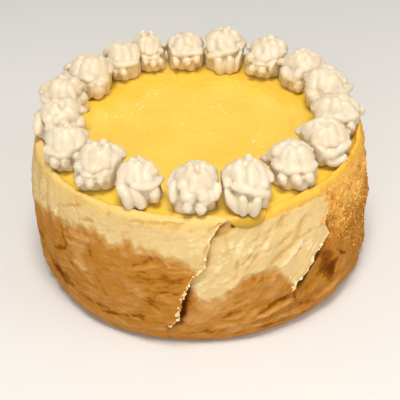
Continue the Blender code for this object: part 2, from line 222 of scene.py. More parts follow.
def relief(column, azimuth, height):
    """How far the side stands out of its plain form; column is the azimuth before the lean."""
    azimuth = wrapped(azimuth)
    low = smooth(0.044, 0.030, height)
    total = 0.0008 * ripples(azimuth, height, 0.055, 3)
    # Each tear's skin swells towards its edge, over a furrow or a hollow.
    from_left = column - LEFT_TEAR_MIDDLE
    skin, furrow = on_skin(from_left, bump(from_left, 24)), on_gap(from_left, bump(from_left - 0.3, 5.5))
    total += smooth(0.004, 0.014, height) * (0.0012 * skin - (0.0006 + 0.0012 * low) * furrow)
    from_right = column - RIGHT_TEAR_MIDDLE
    skin, hollow = on_skin(from_right, bump(from_right, 14)), on_gap(from_right, bump(from_right - 4, 10))
    total += smooth(0.014, 0.024, height) * (0.0010 * skin - 0.0017 * hollow)
    # Creases between the tears, folds round the foot, upright wrinkles at the left, and the lumpy crust.
    between = bump(azimuth - 20, 22) * smooth(0.012, 0.030, height)
    total += 0.0003 * between * waves(azimuth, height, 7.5, -0.030)
    folded = bump(azimuth - 34, 34) * bump(height - 0.011, 0.016)
    total += 0.0011 * folded * waves(azimuth, height, -48, 0.0085)
    wrinkled = bump(azimuth + 66, 26) + 0.7 * bump(wrapped(azimuth + 140), 30)
    total += 0.0006 * wrinkled * waves(azimuth, height, 8.5, 0.080)
    crusty = np.clip(smooth(42, 54, azimuth) + smooth(-160, -176, azimuth), 0, 1)
    return total + 0.0006 * crusty * ripples(azimuth, height, 0.013, 5)


def side_radius(column, azimuth, height):
    form = BELLY_RADIUS - SIDE_CURVE * (height - BELLY_HEIGHT) ** 2 - FOOT_TUCK * np.exp(-height / FOOT_ROUND)
    near_rim = 0.25 + 0.75 * smooth(0.061, 0.052, height)
    near_foot = 0.35 + 0.65 * smooth(0.0, 0.005, height)
    return form + relief(column, azimuth, height) * near_rim * near_foot


def rim_height(azimuth):
    turn = np.sin(np.radians(azimuth))
    height = RIM_HEIGHT + SIDE_RISE * turn**2 + RIGHT_RISE * np.maximum(turn, 0) ** 2
    height += 0.0004 * ripples(azimuth, 0, 0.030, 7)
    notch = smooth(2.1, 1.0, np.abs(wrapped(azimuth - DRIP_AZIMUTH)) / DRIP_HALF_ANGLE)
    return height - (NOTCH_DEPTH + height - RIM_HEIGHT) * notch


def curd_edge(azimuth):
    wander = 0.0009 * ripples(azimuth, 0, 0.070, 11) + 0.00030 * ripples(azimuth, 0, 0.009, 13)
    return CURD_RADIUS + wander + 0.0006 * bump(wrapped(azimuth) + 10, 14)


def upper_outline(azimuth):
    """(radii, heights) of the hollow's slope and the rim: a row for each point, a column for each azimuth."""
    edge, crest = curd_edge(azimuth), rim_height(azimuth)
    radii = [edge - 0.0025, edge, edge + 0.35 * RIM_WIDTH, edge + 0.70 * RIM_WIDTH]
    heights = [np.full(edge.shape, CURD_LEVEL - 0.0018), np.minimum(CURD_LEVEL, crest - 0.0004)]
    heights += [crest - 0.0001, crest - 0.0002]
    for drop in (0.0014, 0.0034):
        height = crest - drop
        radii.append(side_radius(azimuth, leaned(azimuth, height), height))
        heights.append(height)
    return np.array(radii), np.array(heights)


def rounded(rows, times):
    """Cuts the corners of lines that run down the columns, and keeps their ends."""
    for _ in range(times):
        first = 0.75 * rows[:-1] + 0.25 * rows[1:]
        second = 0.25 * rows[:-1] + 0.75 * rows[1:]
        between = np.stack([first, second], axis=1).reshape(-1, *rows.shape[1:])
        rows = np.concatenate([rows[:1], between[1:-1], rows[-1:]])
    return rows


def placed(radius, azimuth, height):
    angle = np.radians(azimuth)
    return np.stack([radius * np.sin(angle), -radius * np.cos(angle), height], axis=-1)


def closed_grid(name, rings, first_pole, last_pole):
    """A closed mesh from an array of rings of points, each end closed to a pole point."""
    rows, columns = rings.shape[:2]
    points = np.concatenate([[first_pole], rings.reshape(-1, 3), [last_pole]])
    grid = 1 + np.arange(rows * columns).reshape(rows, columns)
    beside = np.roll(grid, -1, axis=1)
    quads = np.stack([grid[:-1], grid[1:], beside[1:], beside[:-1]], axis=-1).reshape(-1, 4).tolist()
    caps = [(0, a, b) for a, b in zip(grid[0].tolist(), beside[0].tolist())]
    feet = [(a, len(points) - 1, b) for a, b in zip(grid[-1].tolist(), beside[-1].tolist())]
    mesh = bpy.data.meshes.new(name)
    mesh.from_pydata(points.tolist(), [], caps + quads + feet)
    mesh.shade_smooth()
    return mesh


def add_piece(name, mesh, material, slot, *nodes):
    """Adds a piece that rides with the cake, in the place of these CAD nodes."""
    piece = add_object(name, mesh)
    mesh.materials.append(material)
    if nodes:
        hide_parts(*nodes)
    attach(piece, "root")


def paint(mesh, name, values):
    """Stores a value for each point, which the finish reads by this name."""
    layer = mesh.attributes.new(name, "FLOAT", "POINT")
    layer.data.foreach_set("value", np.ascontiguousarray(values, np.float32))


def paint_rings(mesh, **layers):
    """Paints a closed grid with values for its rings' points, and 0 at its two poles."""
    for name, values in layers.items():
        paint(mesh, name, np.concatenate([[0], values.ravel(), [0]]))


def points_of(mesh):
    points = np.empty(len(mesh.vertices) * 3)
    mesh.vertices.foreach_get("co", points)
    return points.reshape(-1, 3)


def tree_of(mesh):
    return BVHTree.FromPolygons(points_of(mesh).tolist(), [tuple(face.vertices) for face in mesh.polygons])


class Wire:
    """A value that varies over a surface; arithmetic on it adds Math nodes."""

    def __init__(self, finish, socket):
        self.finish = finish
        self.socket = socket

    def math(self, operation, *operands):
        return self.finish.node("ShaderNodeMath", {"operation": operation}, dict(enumerate(operands)))

    def __add__(self, other):
        return self.math("ADD", self, other)

    def __sub__(self, other):
        return self.math("SUBTRACT", self, other)

    def __mul__(self, other):
        return self.math("MULTIPLY", self, other)

    def __rsub__(self, other):
        return self.math("SUBTRACT", other, self)

    __radd__ = __add__
    __rmul__ = __mul__

    def step(self, start, end):
        """0 below the start, 1 above the end, smooth between; the ends may be the other way round."""
        sockets = {"Value": self, "From Min": start, "From Max": end}
        return self.finish.node("ShaderNodeMapRange", {"interpolation_type": "SMOOTHSTEP"}, sockets)


class Finish:
    """A material: its nodes, and the sockets of its shader."""

    def __init__(self, name, **constants):
        self.material = bpy.data.materials.new(name)
        self.material.use_nodes = True
        self.nodes = self.material.node_tree.nodes
        self.shader = self.nodes["Principled BSDF"]
        for socket, value in constants.items():
            self.shader.inputs[socket.replace("_", " ")].default_value = value

    def node(self, kind, settings=None, sockets=None, output=0):
        made = self.nodes.new(kind)
        for name, value in (settings or {}).items():
            setattr(made, name, value)
        for key, value in (sockets or {}).items():
            self.feed(made.inputs[key], value)
        return Wire(self, made.outputs[output])

    def feed(self, socket, value):
        if isinstance(value, Wire):
            self.material.node_tree.links.new(value.socket, socket)
        elif isinstance(value, tuple) and len(value) == 3 and len(socket.default_value) == 4:
            socket.default_value = (*value, 1)
        else:
            socket.default_value = value

    def shade(self, **wires):
        for socket, value in wires.items():
            self.feed(self.shader.inputs[socket.replace("_", " ")], value)

    def painted(self, name):
        return self.node("ShaderNodeAttribute", {"attribute_name": name}, output="Fac")

    def place(self, stretch=(1, 1, 1)):
        spot = self.node("ShaderNodeTexCoord", output="Object")
        return self.node("ShaderNodeVectorMath", {"operation": "MULTIPLY"}, {0: spot, 1: stretch})

    def noise(self, size, detail=2, stretch=(1, 1, 1), roughness=0.5):
        """Noise from 0 to 1 with lumps of this size in metres, stretched along the axes."""
        sockets = {"Vector": self.place(stretch), "Scale": 1 / size, "Detail": detail, "Roughness": roughness}
        return self.node("ShaderNodeTexNoise", None, sockets)

    def layered(self, colour, *coats):
        """A colour with others laid over it in turn, each given as its share and its colour."""
        for share, coat in coats:
            colour = self.node("ShaderNodeMix", {"data_type": "RGBA"}, {0: share, 6: colour, 7: coat}, 2)
        return colour

    def raised(self, height, distance, strength):
        sockets = {"Height": height, "Distance": distance, "Strength": strength}
        return self.node("ShaderNodeBump", None, sockets)


# The columns stand closest together along the two tears.
columns = np.concatenate([
    np.arange(-180, -88, 1.15),
    np.linspace(-88, -8, 210, endpoint=False),
    LEFT_TEAR_MIDDLE - 6 * np.linspace(1, 0, 26) ** 1.5,
    LEFT_TEAR_MIDDLE + TEAR_SEAM + 6 * np.linspace(0, 1, 26) ** 1.5,
    np.linspace(4, 31, 76, endpoint=False)[1:],
    RIGHT_TEAR_MIDDLE - 6 * np.linspace(1, 0, 24) ** 1.5,
    RIGHT_TEAR_MIDDLE + TEAR_SEAM + 6 * np.linspace(0, 1, 24) ** 1.5,
    np.linspace(43, 78, 80)[1:],
    np.arange(78.8, 180, 1.05),
])
upper_radii, upper_heights = upper_outline(columns)
rim_radii, rim_heights = rounded(upper_radii, 2), rounded(upper_heights, 2)
rim_columns = np.broadcast_to(columns, rim_radii.shape)
over_rim = smooth(0.0, 0.0034, rim_radii - curd_edge(columns))
rim_azimuths = rim_columns + (leaned(columns, rim_heights) - wrapped(columns)) * over_rim
side_shares = np.linspace(1, 0, SIDE_ROWS + 1)[1:, None]
side_heights = side_shares * upper_heights[-1]
side_columns = np.broadcast_to(columns, side_heights.shape)
side_azimuths = leaned(side_columns, side_heights)
side_radii = side_radius(side_columns, side_azimuths, side_heights)

hollow_radii = np.stack([0.5 * curd_edge(columns), curd_edge(columns) - SLOPE_FOOT])
hollow_heights = np.full(hollow_radii.shape, CURD_LEVEL - FLOOR_DROP)
body_radii = np.concatenate([hollow_radii, rim_radii, side_radii])
body_heights = np.concatenate([hollow_heights, rim_heights, side_heights])
body_azimuths = np.concatenate([np.broadcast_to(columns, hollow_radii.shape), rim_azimuths, side_azimuths])
body_columns = np.broadcast_to(columns, body_radii.shape)
spots = placed(body_radii, body_azimuths, body_heights)
outside = smooth(0.0010, 0.0045, body_radii - curd_edge(columns))  # 0 in the hollow, 1 on the side
below_rim = rim_height(body_azimuths) - body_heights
azimuths = wrapped(body_azimuths)

# Marks on the skin, read off the cake: azimuth in degrees and height in mm where each starts, and the same
# where it ends, half width in mm, tone (below 0 deeper, above 0 lighter) and how far it stands out in mm.
# The tone is partly the skin's own browning and partly painted light: most deeper marks sink, as painted
# shade in folds, creases, grooves and hollows, and most lighter ones stand out, as painted highlight.
MARKS = (
    # The browned left front: golden patch, folds, creases and the dark band round its foot.
    (-45, 43.8, -37, 44.8, 2.2, 1.3, 0.5), (-45, 38.6, -39, 39.1, 2.8, 1.1, 0.4),
    (-44, 32.8, -40, 34.9, 1.2, 0.5, 0.2), (-44, 30.4, -38, 29.5, 1.6, 1.5, 0.5),
    (-41, 27.7, -36, 23.3, 1.6, 0.6, 0.3), (-49, 28.4, -43, 22.8, 0.8, 0.6, 0.3),
    (-35, 50.5, -29, 45.4, 2.4, -0.6, 0), (-37, 43.4, -36, 34.2, 1.4, -0.4, -0.2),
    (-50, 43.5, -47, 34.1, 1, -0.7, -0.5), (-55, 29.6, -48, 33.9, 0.9, -0.9, -0.4),
    (-57, 16.4, -47, 14.3, 2.8, -1.3, -0.2), (-46, 12.7, -31, 13.1, 1.6, -1, -0.3),
    (-35, 28.3, -31, 20, 1.4, -0.6, -0.3), (-33, 9.9, -18, 15.1, 1.3, -0.9, -0.35),
    (-28, 9.1, -23, 10.8, 1.2, -0.5, 0), (-21, 39.5, -15, 44.2, 1.1, -0.7, -0.4),
    (-20, 38.4, -12, 42.5, 1.2, 0.6, 0.35), (-18, 45.2, -13, 47.7, 1.4, -0.3, 0),
    (-26, 46.5, -23, 43.4, 1.6, 0.5, 0.1), (-21, 34.7, -7, 35.5, 3.7, -0.5, 0),
    (-16, 30.4, -8, 30, 2.4, -0.6, 0), (-24, 29.8, -15, 27.2, 1, 0.7, 0.2),
    (-11, 43.6, -9, 42.1, 0.9, 1.2, 0.3), (-8, 44.9, -4, 43.8, 1.6, -0.3, 0),
    (-40, 20.3, -30, 18.8, 1.2, 0.5, 0.2), (-28, 19.8, -19, 21.4, 1.2, 0.4, 0.15),
    (-18, 15.7, -12, 14.6, 1.2, 0.4, 0.1), (-29, 5.8, -12, 9.6, 0.9, 0.5, 0.1),
    (-12, 10, -6, 13, 1, -1.5, -0.8), (-74, 36, -63, 21, 2.6, -1, 0), (-63, 21, -53, 13, 2.2, -0.7, 0),
    (-45, 36, -40, 33, 3, 0.7, 0), (-16, 26.5, -10, 25, 2.6, -0.6, 0), (-21, 16.5, -14, 14.5, 2.6, -0.5, 0),
    (-4, 7, 5, 8, 3, -0.5, 0),
    # The pale skin above it.
    (-39, 52.7, -35, 54.3, 1.2, -0.9, -0.4), (-31, 58.7, -29, 60.6, 1, -0.5, -0.2),
    (-21, 59.3, -5, 60.3, 0.6, -1.6, -0.6), (-12, 59, -6, 59, 1.4, -0.5, -0.15),
    (-51, 53.2, -50, 47.3, 0.6, -0.8, -0.4), (-43, 61.6, -41, 51.6, 0.6, -0.6, -0.3),
    (-50, 53.8, -41, 58.2, 0.7, -0.6, -0.3), (-60, 58, -57, 42, 0.7, -0.6, -0.4),
    (-67, 56, -65, 40, 0.8, -0.6, -0.4), (-78, 58, -72, 40, 3, 0.7, 0), (-57, 60, -52, 47, 2.5, 0.4, 0),
    (-4, 47, 5, 55.5, 1.6, 0.5, 0.2), (-10, 50, -1, 53, 5.5, 0.45, 0), (9, 50, 18, 46, 5.5, 0.45, 0),
    # The pale skin between the tears, creased down to the left, and the brown skin below it.
    (5, 60.3, 10, 57.2, 1.3, -1.3, -0.6), (2, 57.5, 6, 60, 0.8, -0.6, -0.2),
    (1, 48.3, 3, 53.6, 0.6, -0.8, -0.3), (26, 57.5, 20, 50.1, 1.9, -0.6, -0.5),
    (20, 50.1, 16, 43, 1.6, -0.5, -0.35), (28, 44.6, 21, 38.2, 1.5, -0.6, -0.45),
    (11, 43.4, 9, 31.9, 1, -0.7, -0.35), (15, 45.7, 12, 40.5, 0.7, -0.5, -0.25),
    (34, 54.7, 28, 45.1, 1.5, -0.5, -0.4), (7, 53.5, 8, 47.5, 0.7, -0.4, -0.2),
    (17, 14, 29, 20.8, 1.2, -1.3, -0.8), (31, 25.4, 29, 13.1, 0.6, -1, -0.5),
    (6, 15, 11, 18.1, 1.4, -0.8, -0.2), (17, 12.4, 28, 17, 1.4, 0.9, 0.5),
    (11, 28.2, 22, 30.6, 1.6, 0.5, 0.2), (-1, 21.6, 6, 23.3, 2.8, 0.4, 0), (8, 8.7, 20, 8, 0.8, 0.7, 0.3),
    (13, 18.1, 17, 20.1, 0.6, 0.8, 0.2), (8, 11.5, 17, 12.4, 0.5, -0.6, -0.25),
    (19, 5.6, 31, 6, 0.6, -0.7, -0.3), (25, 8.5, 39, 6.1, 0.8, 0.7, 0.3), (-4, 16, 7, 24, 5.5, 0.6, 0),
    (3, 9, 18, 13, 4, 0.5, 0), (10, 21, 26, 31, 2.6, 0.35, 0), (20, 22, 27, 29, 1.8, 0.6, 0.3),
    (23, 53, 19, 47, 1.3, 0.6, 0.3), (31, 45, 24, 36.5, 1.4, 0.6, 0.3), (14, 42, 8, 30, 1.5, 0.5, 0.3),
    (6, 50, 4, 38, 2.2, 0.5, 0.2),
    # Right of the right tear: the hollow, painted dark as in shade, its light streak and the layers at the
    # foot.
    (41.5, 31, 45, 17.5, 5.2, -1.5, -0.3), (45, 20, 47, 25, 2.6, -0.8, 0),
    (29, 10.9, 37, 10.1, 1.2, -0.8, -0.3), (49, 27, 52, 24, 1, -1.2, -0.3),
    (57, 27.5, 60, 24.5, 1.2, -1.2, -0.3), (63, 24, 70, 20, 1.2, -0.9, -0.2),
    (47, 30.8, 53, 23.4, 0.6, -0.8, -0.2), (31, 22, 36, 27.8, 1.8, 0.6, 0.3),
    (42, 11.2, 58, 11.6, 1.2, 0.6, 0.4), (50, 25.5, 46.5, 18, 0.7, 1, 0.3), (36, 30, 42, 38, 2, -0.5, 0),
    # The groove under the rim's lip on the right, painted darker as in shade.
    (11, 58.2, 18, 58.8, 0.7, -0.8, -0.4), (18, 58.8, 27, 59.6, 0.7, -0.9, -0.45),
    (27, 59.6, 38, 60, 0.7, -0.9, -0.45), (38, 60, 50, 60.4, 0.7, -0.8, -0.4),
)
SMALL_MARKS = 260
MARK_FADE = 1.7  # where a mark has faded out, in half widths
MM_PER_DEGREE = 1000 * CAKE_RADIUS * math.pi / 180


def small_marks():
    """Short wrinkles all over the skin: upright at the far left, level at the front left, then slanting.
    Each is painted darker where it sinks and lighter where it stands out: painted shade and highlight.
    """
    draw = random.Random(55)
    found = []
    for _ in range(SMALL_MARKS):
        azimuth, up, length = draw.uniform(-100, 46), draw.uniform(3, 50), draw.uniform(4, 11)
        lean, spread = (75, 18) if azimuth < -52 else (-4, 20) if azimuth < -4 else (36, 14)
        slope = math.radians(draw.gauss(lean, spread))
        light = draw.choice((-1, 1)) * draw.uniform(0.25, 0.60)
        end, end_up = azimuth + length * math.cos(slope) / MM_PER_DEGREE, up + length * math.sin(slope)
        found.append((azimuth, up, end, end_up, draw.uniform(0.3, 0.8), light, 0.35 * light))
    return found


def marked(azimuth, height):
    """The tone and the relief in metres that the marks give to each spot."""
    across, up = azimuth * MM_PER_DEGREE, height * 1000
    tone, stand = 0 * across, 0 * across
    for start, start_up, end, end_up, half, light, out in [*MARKS, *small_marks()]:
        run, rise = (end - start) * MM_PER_DEGREE, end_up - start_up
        from_start, from_start_up = across - start * MM_PER_DEGREE, up - start_up
        along = np.clip((from_start * run + from_start_up * rise) / (run**2 + rise**2), 0, 1)
        apart = np.hypot(from_start - along * run, from_start_up - along * rise)
        share = bump(apart, MARK_FADE * half * (1 - 0.5 * np.abs(2 * along - 1) ** 3))
        tone, stand = tone + light * share, stand + 0.001 * out * share
    return tone, stand


# What each spot of the skin is like. The brown skin's upper edge left of the left tear and between the
# tears, as azimuths and shares of the cake's radius.
STAIN_LEFT = (
    (-180, .70), (-150, .62), (-120, .66), (-100, .55), (-84, .50), (-73, .52), (-55, .63), (-49, .61),
    (-40, .65), (-34, .68), (-32, .65), (-28, .61), (-22, .67), (-20, .63), (-16, .61), (-14, .63),
    (-10, .60), (-6, .59), (2, .46),
)
STAIN_MIDDLE = (
    (-14, .50), (-6, .44), (-2, .38), (1, .31), (7, .36), (9, .40), (14, .45), (18, .48), (24, .45),
    (26, .39), (28, .33), (40, .30),
)
# Painted shade: the wedge and the gap by the drip are painted darkest round this spot.
DARK_SPOT = (10.0, 59.0)  # azimuth and height in mm of the deepest part of the gap beside the drip
reach = body_heights / CAKE_RADIUS
from_left, from_right = body_columns - LEFT_TEAR_MIDDLE, body_columns - RIGHT_TEAR_MIDDLE
left_side, right_side = from_left < TEAR_SEAM / 2, from_right > TEAR_SEAM / 2
left_edge = np.interp(azimuths, *np.array(STAIN_LEFT).T)
middle_edge = np.interp(azimuths, *np.array(STAIN_MIDDLE).T)
paleness = np.where(right_side, -0.3, reach - np.where(left_side, left_edge, middle_edge))
crust_foot = np.interp(azimuths, (38, 44, 50, 58, 70, 180), (0.040, 0.036, 0.033, 0.020, 0.008, 0.006))
crust = np.where(right_side, smooth(-0.005, 0.005, body_heights - crust_foot), 0)

# Unevenness of several sizes, and the crust's outline: it ends raggedly at the back, and strays to the
# left over the right tear, close under the rim.
lumps = grain(spots, 0.0060, 1, 3)
puffs = grain(spots, 0.0110, 4, 2)
wrinkles = grain(spots * (1, 1, 3.0), 0.0075, 2, 3)
crags = grain(spots, 0.0022, 3, 3)
straggling = azimuths + 9 * puffs + 5 * lumps + 260 * (body_heights - 0.030)
crust = np.maximum(crust, smooth(-156, -174, straggling) * smooth(-0.005, 0.005, body_heights - 0.006))
straying = np.where(right_side, 0, smooth(-4.5, 0.5, from_right + 1.8 * lumps))
straying = straying * smooth(0.045, 0.051, body_heights) * smooth(0.061, 0.058, body_heights)
crust = np.maximum(crust, straying)

# The skin's tone, and its fine relief in metres: puffs and low wrinkles where it is brown, pits where it
# is pale, crags in the crust.
tone, stand = marked(azimuths + 0.7 * lumps, body_heights + 0.0007 * crags)
pale = smooth(-0.02, 0.03, paleness + 0.02 * lumps)
brown = (1 - pale) * (1 - crust)
low = smooth(0.022, 0.008, body_heights)
fine = pale * (0.00020 * lumps + 0.00012 * crags) + crust * 0.00055 * crags
fine += brown * (0.00040 * puffs + 0.00012 * lumps + 0.00028 * low * wrinkles)
fine += 0.00018 * smooth(-0.01, 0.01, paleness + 0.02 * lumps)
# Creases that slant through the pale skin, sunk and painted darker: painted shade.
slanting = azimuths / 4.4 - body_heights / 0.0069 + 0.55 * puffs + 0.25 * lumps
creased = (1 - np.abs(np.sin(np.pi * slanting))) ** 2 * smooth(-0.2, 0.5, grain(spots, 0.012, 6, 1))
creased = creased * pale * (1 - crust) * smooth(0.30, 0.5, reach) * (0.4 + 0.6 * bump(azimuths - 18, 24))
fine -= 0.00034 * creased
tone -= 0.60 * creased
# Painted shade: a darker wedge between the left tear's top and the drip, under the overhanging flap.
shaded_wedge = on_gap(from_left, smooth(12.0, 9.0, azimuths))
shaded_wedge *= smooth(-0.0009, 0.0007, body_heights - 0.0517 - 0.0006 * azimuths + 0.0006 * lumps)
tone -= 1.6 * shaded_wedge
# Streaks: nearly level left of the left tear, steep elsewhere.
lean = np.radians(np.where(left_side, 12, 50))
across, up = azimuths * MM_PER_DEGREE, body_heights * 1000
along, aside = across * np.cos(lean) + up * np.sin(lean), up * np.cos(lean) - across * np.sin(lean)
streaked = grain(np.stack([along / 6.0, aside / 1.1, 0 * along], axis=-1), 1.0, 8, 2)
tone += streaked * (0.32 * pale + 0.50 * brown)
fine += 0.00010 * streaked * (pale + brown)
# Thin layers round the foot at the front, with painted highlight where they stand out and shade where they
# sink.
layers = bump(azimuths - 24, 44) * bump(reach - 0.10, 0.16)
layered = np.sin(math.tau * (body_heights / 0.0042 - azimuths / 30) + 1.5 * wrinkles)
fine += 0.00032 * layers * layered
tone += 0.30 * layers * layered
# The rim's lip is rough except beside the drip, and its outer edge glows orange on the right.
lip = bump(body_radii - curd_edge(columns) - 0.0016, 0.003) * smooth(0.050, 0.060, body_heights)
lip *= 1 - bump(azimuths - DRIP_AZIMUTH, 9)
body_radii += outside * (fine + stand) * smooth(0.0, 0.002, body_heights)
body_heights += lip * (0.0004 * lumps + 0.00022 * crags)
under_lip = smooth(0.0032, 0.0024, below_rim + 0.0006 * lumps)
glow = smooth(14, 24, azimuths) * smooth(130, 100, azimuths) * under_lip

# The torn skin's edge hangs over the gap beside it, and the gap runs in under it.
down_left = smooth(0.006, 0.012, body_heights) * smooth(0.0612, 0.0590, body_heights)
down_right = smooth(0.016, 0.022, body_heights) * smooth(0.056, 0.046, body_heights)
gape_left = down_left * (0.35 + 0.65 * smooth(0.034, 0.024, body_heights))
gape_right = down_right * (0.40 + 0.60 * bump(body_heights - 0.029, 0.013))
for from_tear, gape, dent in ((from_left, gape_left, 0.0022), (from_right, gape_right, 0.0013)):
    over, under = on_skin(from_tear, bump(from_tear, 2.5)), on_gap(from_tear, bump(from_tear, 0.8))
    body_azimuths += gape * (0.30 * over - 1.1 * under)
    body_radii -= gape * dent * on_gap(from_tear, bump(from_tear, 3.2))
# Painted shade: the gaps beside the tears, the wedge and the spot by the drip are painted dark brown.
gap = gape_left * on_gap(from_left, bump(from_left, 3.6)) * (1 - 0.45 * smooth(0.044, 0.050, body_heights))
gap += 0.30 * shaded_wedge * smooth(0.0620, 0.0605, body_heights)
from_spot = np.hypot((azimuths - DARK_SPOT[0]) * MM_PER_DEGREE, body_heights * 1000 - DARK_SPOT[1])
gap += 0.7 * shaded_wedge * bump(from_spot, 2.2)
gap += gape_right * on_gap(from_right, smooth(5.4, 3.4, from_right))
fray = down_left * bump(from_left + 0.3, 0.7) + down_right * bump(from_right + 0.3, 0.8)

spots = placed(body_radii, body_azimuths, body_heights)
body_mesh = closed_grid("baked_body", spots, (0, 0, CURD_LEVEL - FLOOR_DROP), (0, 0, 0))
paint_rings(body_mesh, paleness=paleness, crust=crust, tone=tone, gap=gap, fray=fray, glow=glow)

PALE_SKIN, PALE_GOLD, PALE_CREAM = (0.69, 0.500, 0.225), (0.60, 0.355, 0.115), (0.80, 0.65, 0.37)
BROWN_SKIN, LIGHT_BROWN, GOLDEN = (0.44, 0.180, 0.022), (0.55, 0.285, 0.088), (0.59, 0.330, 0.105)
DEEP_BROWN, DARKEST, YELLOW_BROWN = (0.26, 0.078, 0.003), (0.14, 0.036, 0.001), (0.76, 0.43, 0.12)
CRUST_GOLD, CRUST_BROWN, CRUST_CRUMB = (0.84, 0.44, 0.095), (0.48, 0.20, 0.032), (0.90, 0.58, 0.24)
GAP_SHADE_BROWN = (0.13, 0.036, 0.003)
FRAYED = (0.84, 0.67, 0.38)
LIP_GOLD_AND_BOUNCE, LIP_ORANGE = (0.76, 0.50, 0.13), (0.82, 0.45, 0.065)

skin = Finish("baked_skin", Specular_IOR_Level=0.0, Coat_Roughness=0.30)
blotches, mottle = skin.noise(0.010, 3) - 0.5, skin.noise(0.0035, 3) - 0.5
speckle, streaks = skin.noise(0.0009, 3, roughness=0.65), skin.noise(0.012, 4, (1, 1, 4.0))
height = skin.node("ShaderNodeSeparateXYZ", None, {0: skin.place()}, "Z")
low_down = height.step(0.020, 0.008)
tone = skin.painted("tone") + blotches * 1.5 + mottle * 1.1
brown = skin.layered(
    BROWN_SKIN,
    (tone.step(-0.30, 1.25), LIGHT_BROWN),
    (tone.step(0.9, 1.8) * 0.6, YELLOW_BROWN),
    (tone.step(-0.20, -1.00), DEEP_BROWN),
    (tone.step(-1.05, -1.9), DARKEST),
    ((streaks + mottle * 0.3).step(0.46, 0.66) * low_down * 0.4, LIGHT_BROWN),
)
# Golden towards the rim's top: partly the lip's own colour, partly painted light bounced from the curd.
on_lip = (height + mottle * 0.012 + blotches * 0.006).step(0.055, 0.063)
pale_skin = skin.layered(
    PALE_SKIN,
    ((tone + (speckle - 0.5) * 0.6).step(0.05, -0.85), PALE_GOLD),
    ((tone + (speckle - 0.5) * 0.8).step(0.25, 0.90), PALE_CREAM),
    (on_lip * 0.6, LIP_GOLD_AND_BOUNCE),
)
browned = speckle + mottle * 0.5 + blotches * 0.5 + (height - 0.047) * 16.0
crumby = (speckle + mottle * 0.6).step(0.60, 0.72) * (0.35 + height.step(0.034, 0.054) * 0.65)
deep_spots = (speckle + mottle * 0.8).step(0.44, 0.30) * height.step(0.056, 0.044)
crusty = skin.layered(
    CRUST_BROWN,
    (browned.step(0.26, 0.68), CRUST_GOLD),
    (crumby, CRUST_CRUMB),
    (height.step(0.052, 0.064) * 0.6, CRUST_GOLD),
    (deep_spots * 0.55, DEEP_BROWN),
)
edge = skin.painted("paleness") + mottle * 0.10 + blotches * 0.06
is_pale = edge.step(-0.008, 0.030)
is_crust = (skin.painted("crust") + mottle * 0.5).step(0.35, 0.60)
is_frayed = (skin.painted("fray") * 0.8 + mottle * 1.8 + (speckle - 0.5) * 0.8).step(0.62, 0.85)
colour = skin.layered(
    brown,
    (edge.step(-0.050, 0.004) * 0.85, GOLDEN),
    (is_pale, pale_skin),
    (is_crust, crusty),
    (skin.painted("glow").step(0.2, 0.8), LIP_ORANGE),
    # Painted shade in the tears' gaps and the hollow.
    ((skin.painted("gap") + mottle * 0.2).step(0.10, 0.70), GAP_SHADE_BROWN),
    (is_frayed, FRAYED),
)
is_smooth = (1 - is_pale) * (1 - is_crust)
rough = 0.66 - is_smooth * 0.16 + (speckle - 0.5) * 0.2
bumps = speckle * (0.08 + is_pale * 0.25 + is_crust) + streaks * low_down * 1.2
bumps = skin.raised(bumps + (mottle + 0.5) * (0.45 + is_pale * 0.15), 0.00050, 0.9)
skin.shade(Base_Color=colour, Roughness=rough, Normal=bumps, Coat_Weight=is_smooth * 0.07)
add_piece("baked_body", body_mesh, skin.material, "baked_skin", "cheesecake")


# Bits of the baked cake: pale flakes that hang along the torn edges, and brown and orange crumbs that
# stand out of the crust on the right and the back. Each is a small craggy lump baked onto the skin.
FLAKE_CLUSTERS = (
    # tear, height and spread in mm, how many
    ("left", 22, 13, 9), ("left", 33.3, 1.0, 2), ("left", 29.3, 1.0, 3), ("left", 27.0, 1.0, 5),
    ("left", 19.8, 1.2, 8), ("left", 15.9, 0.9, 4), ("left", 11.5, 0.8, 3), ("left", 43, 5, 9),
    ("right", 33, 9, 14), ("right", 39.9, 1.2, 8), ("right", 34.9, 1.4, 12), ("right", 27.1, 1.6, 12),
    ("right", 23.9, 1.2, 9),
)
FLAKE_SIZES = (0.00028, 0.00075)
CRUMB_SIZES = (0.00022, 0.00060)
CRUMB_COUNT = 1150
LOOK_FROM, LOOK_REACH = 0.090, 0.04  # the radius from which each bit is let down onto the skin; how far
BIT_STANDS = 0.3  # how far its middle stands off the skin, as a share of its size

lump = bmesh.new()
bmesh.ops.create_icosphere(lump, subdivisions=2, radius=1.0)
LUMP_POINTS = np.array([vertex.co[:] for vertex in lump.verts])
LUMP_FACES = np.array([[vertex.index for vertex in face.verts] for face in lump.faces])
lump.free()
body_tree = tree_of(body_mesh)


def bits(name, places, seed):
    """Craggy lumps joined in one mesh, from rows of azimuth, height, size and tone."""
    draw = np.random.default_rng(seed)
    points, faces, tones = [], [], []
    for azimuth, height, size, light in places:
        start, inward = Vector(placed(LOOK_FROM, azimuth, height)), Vector(placed(-1.0, azimuth, 0.0))
        hit, normal = body_tree.ray_cast(start, inward, LOOK_REACH)[:2]
        if hit is None:
            continue
        turned = np.linalg.qr(draw.normal(size=(3, 3)))[0]
        turned *= np.sign(np.linalg.det(turned))
        craggy = LUMP_POINTS * draw.uniform(0.72, 1.18, (len(LUMP_POINTS), 1)) * draw.uniform(0.55, 1.15, 3)
        faces.append(LUMP_FACES + len(LUMP_POINTS) * len(points))
        points.append(size * craggy @ turned.T + np.array(hit + normal * size * BIT_STANDS))
        tones.append(np.full(len(LUMP_POINTS), light))
    mesh = bpy.data.meshes.new(name)
    mesh.from_pydata(np.concatenate(points).tolist(), [], np.concatenate(faces).tolist())
    paint(mesh, "tone", np.concatenate(tones))
    return mesh


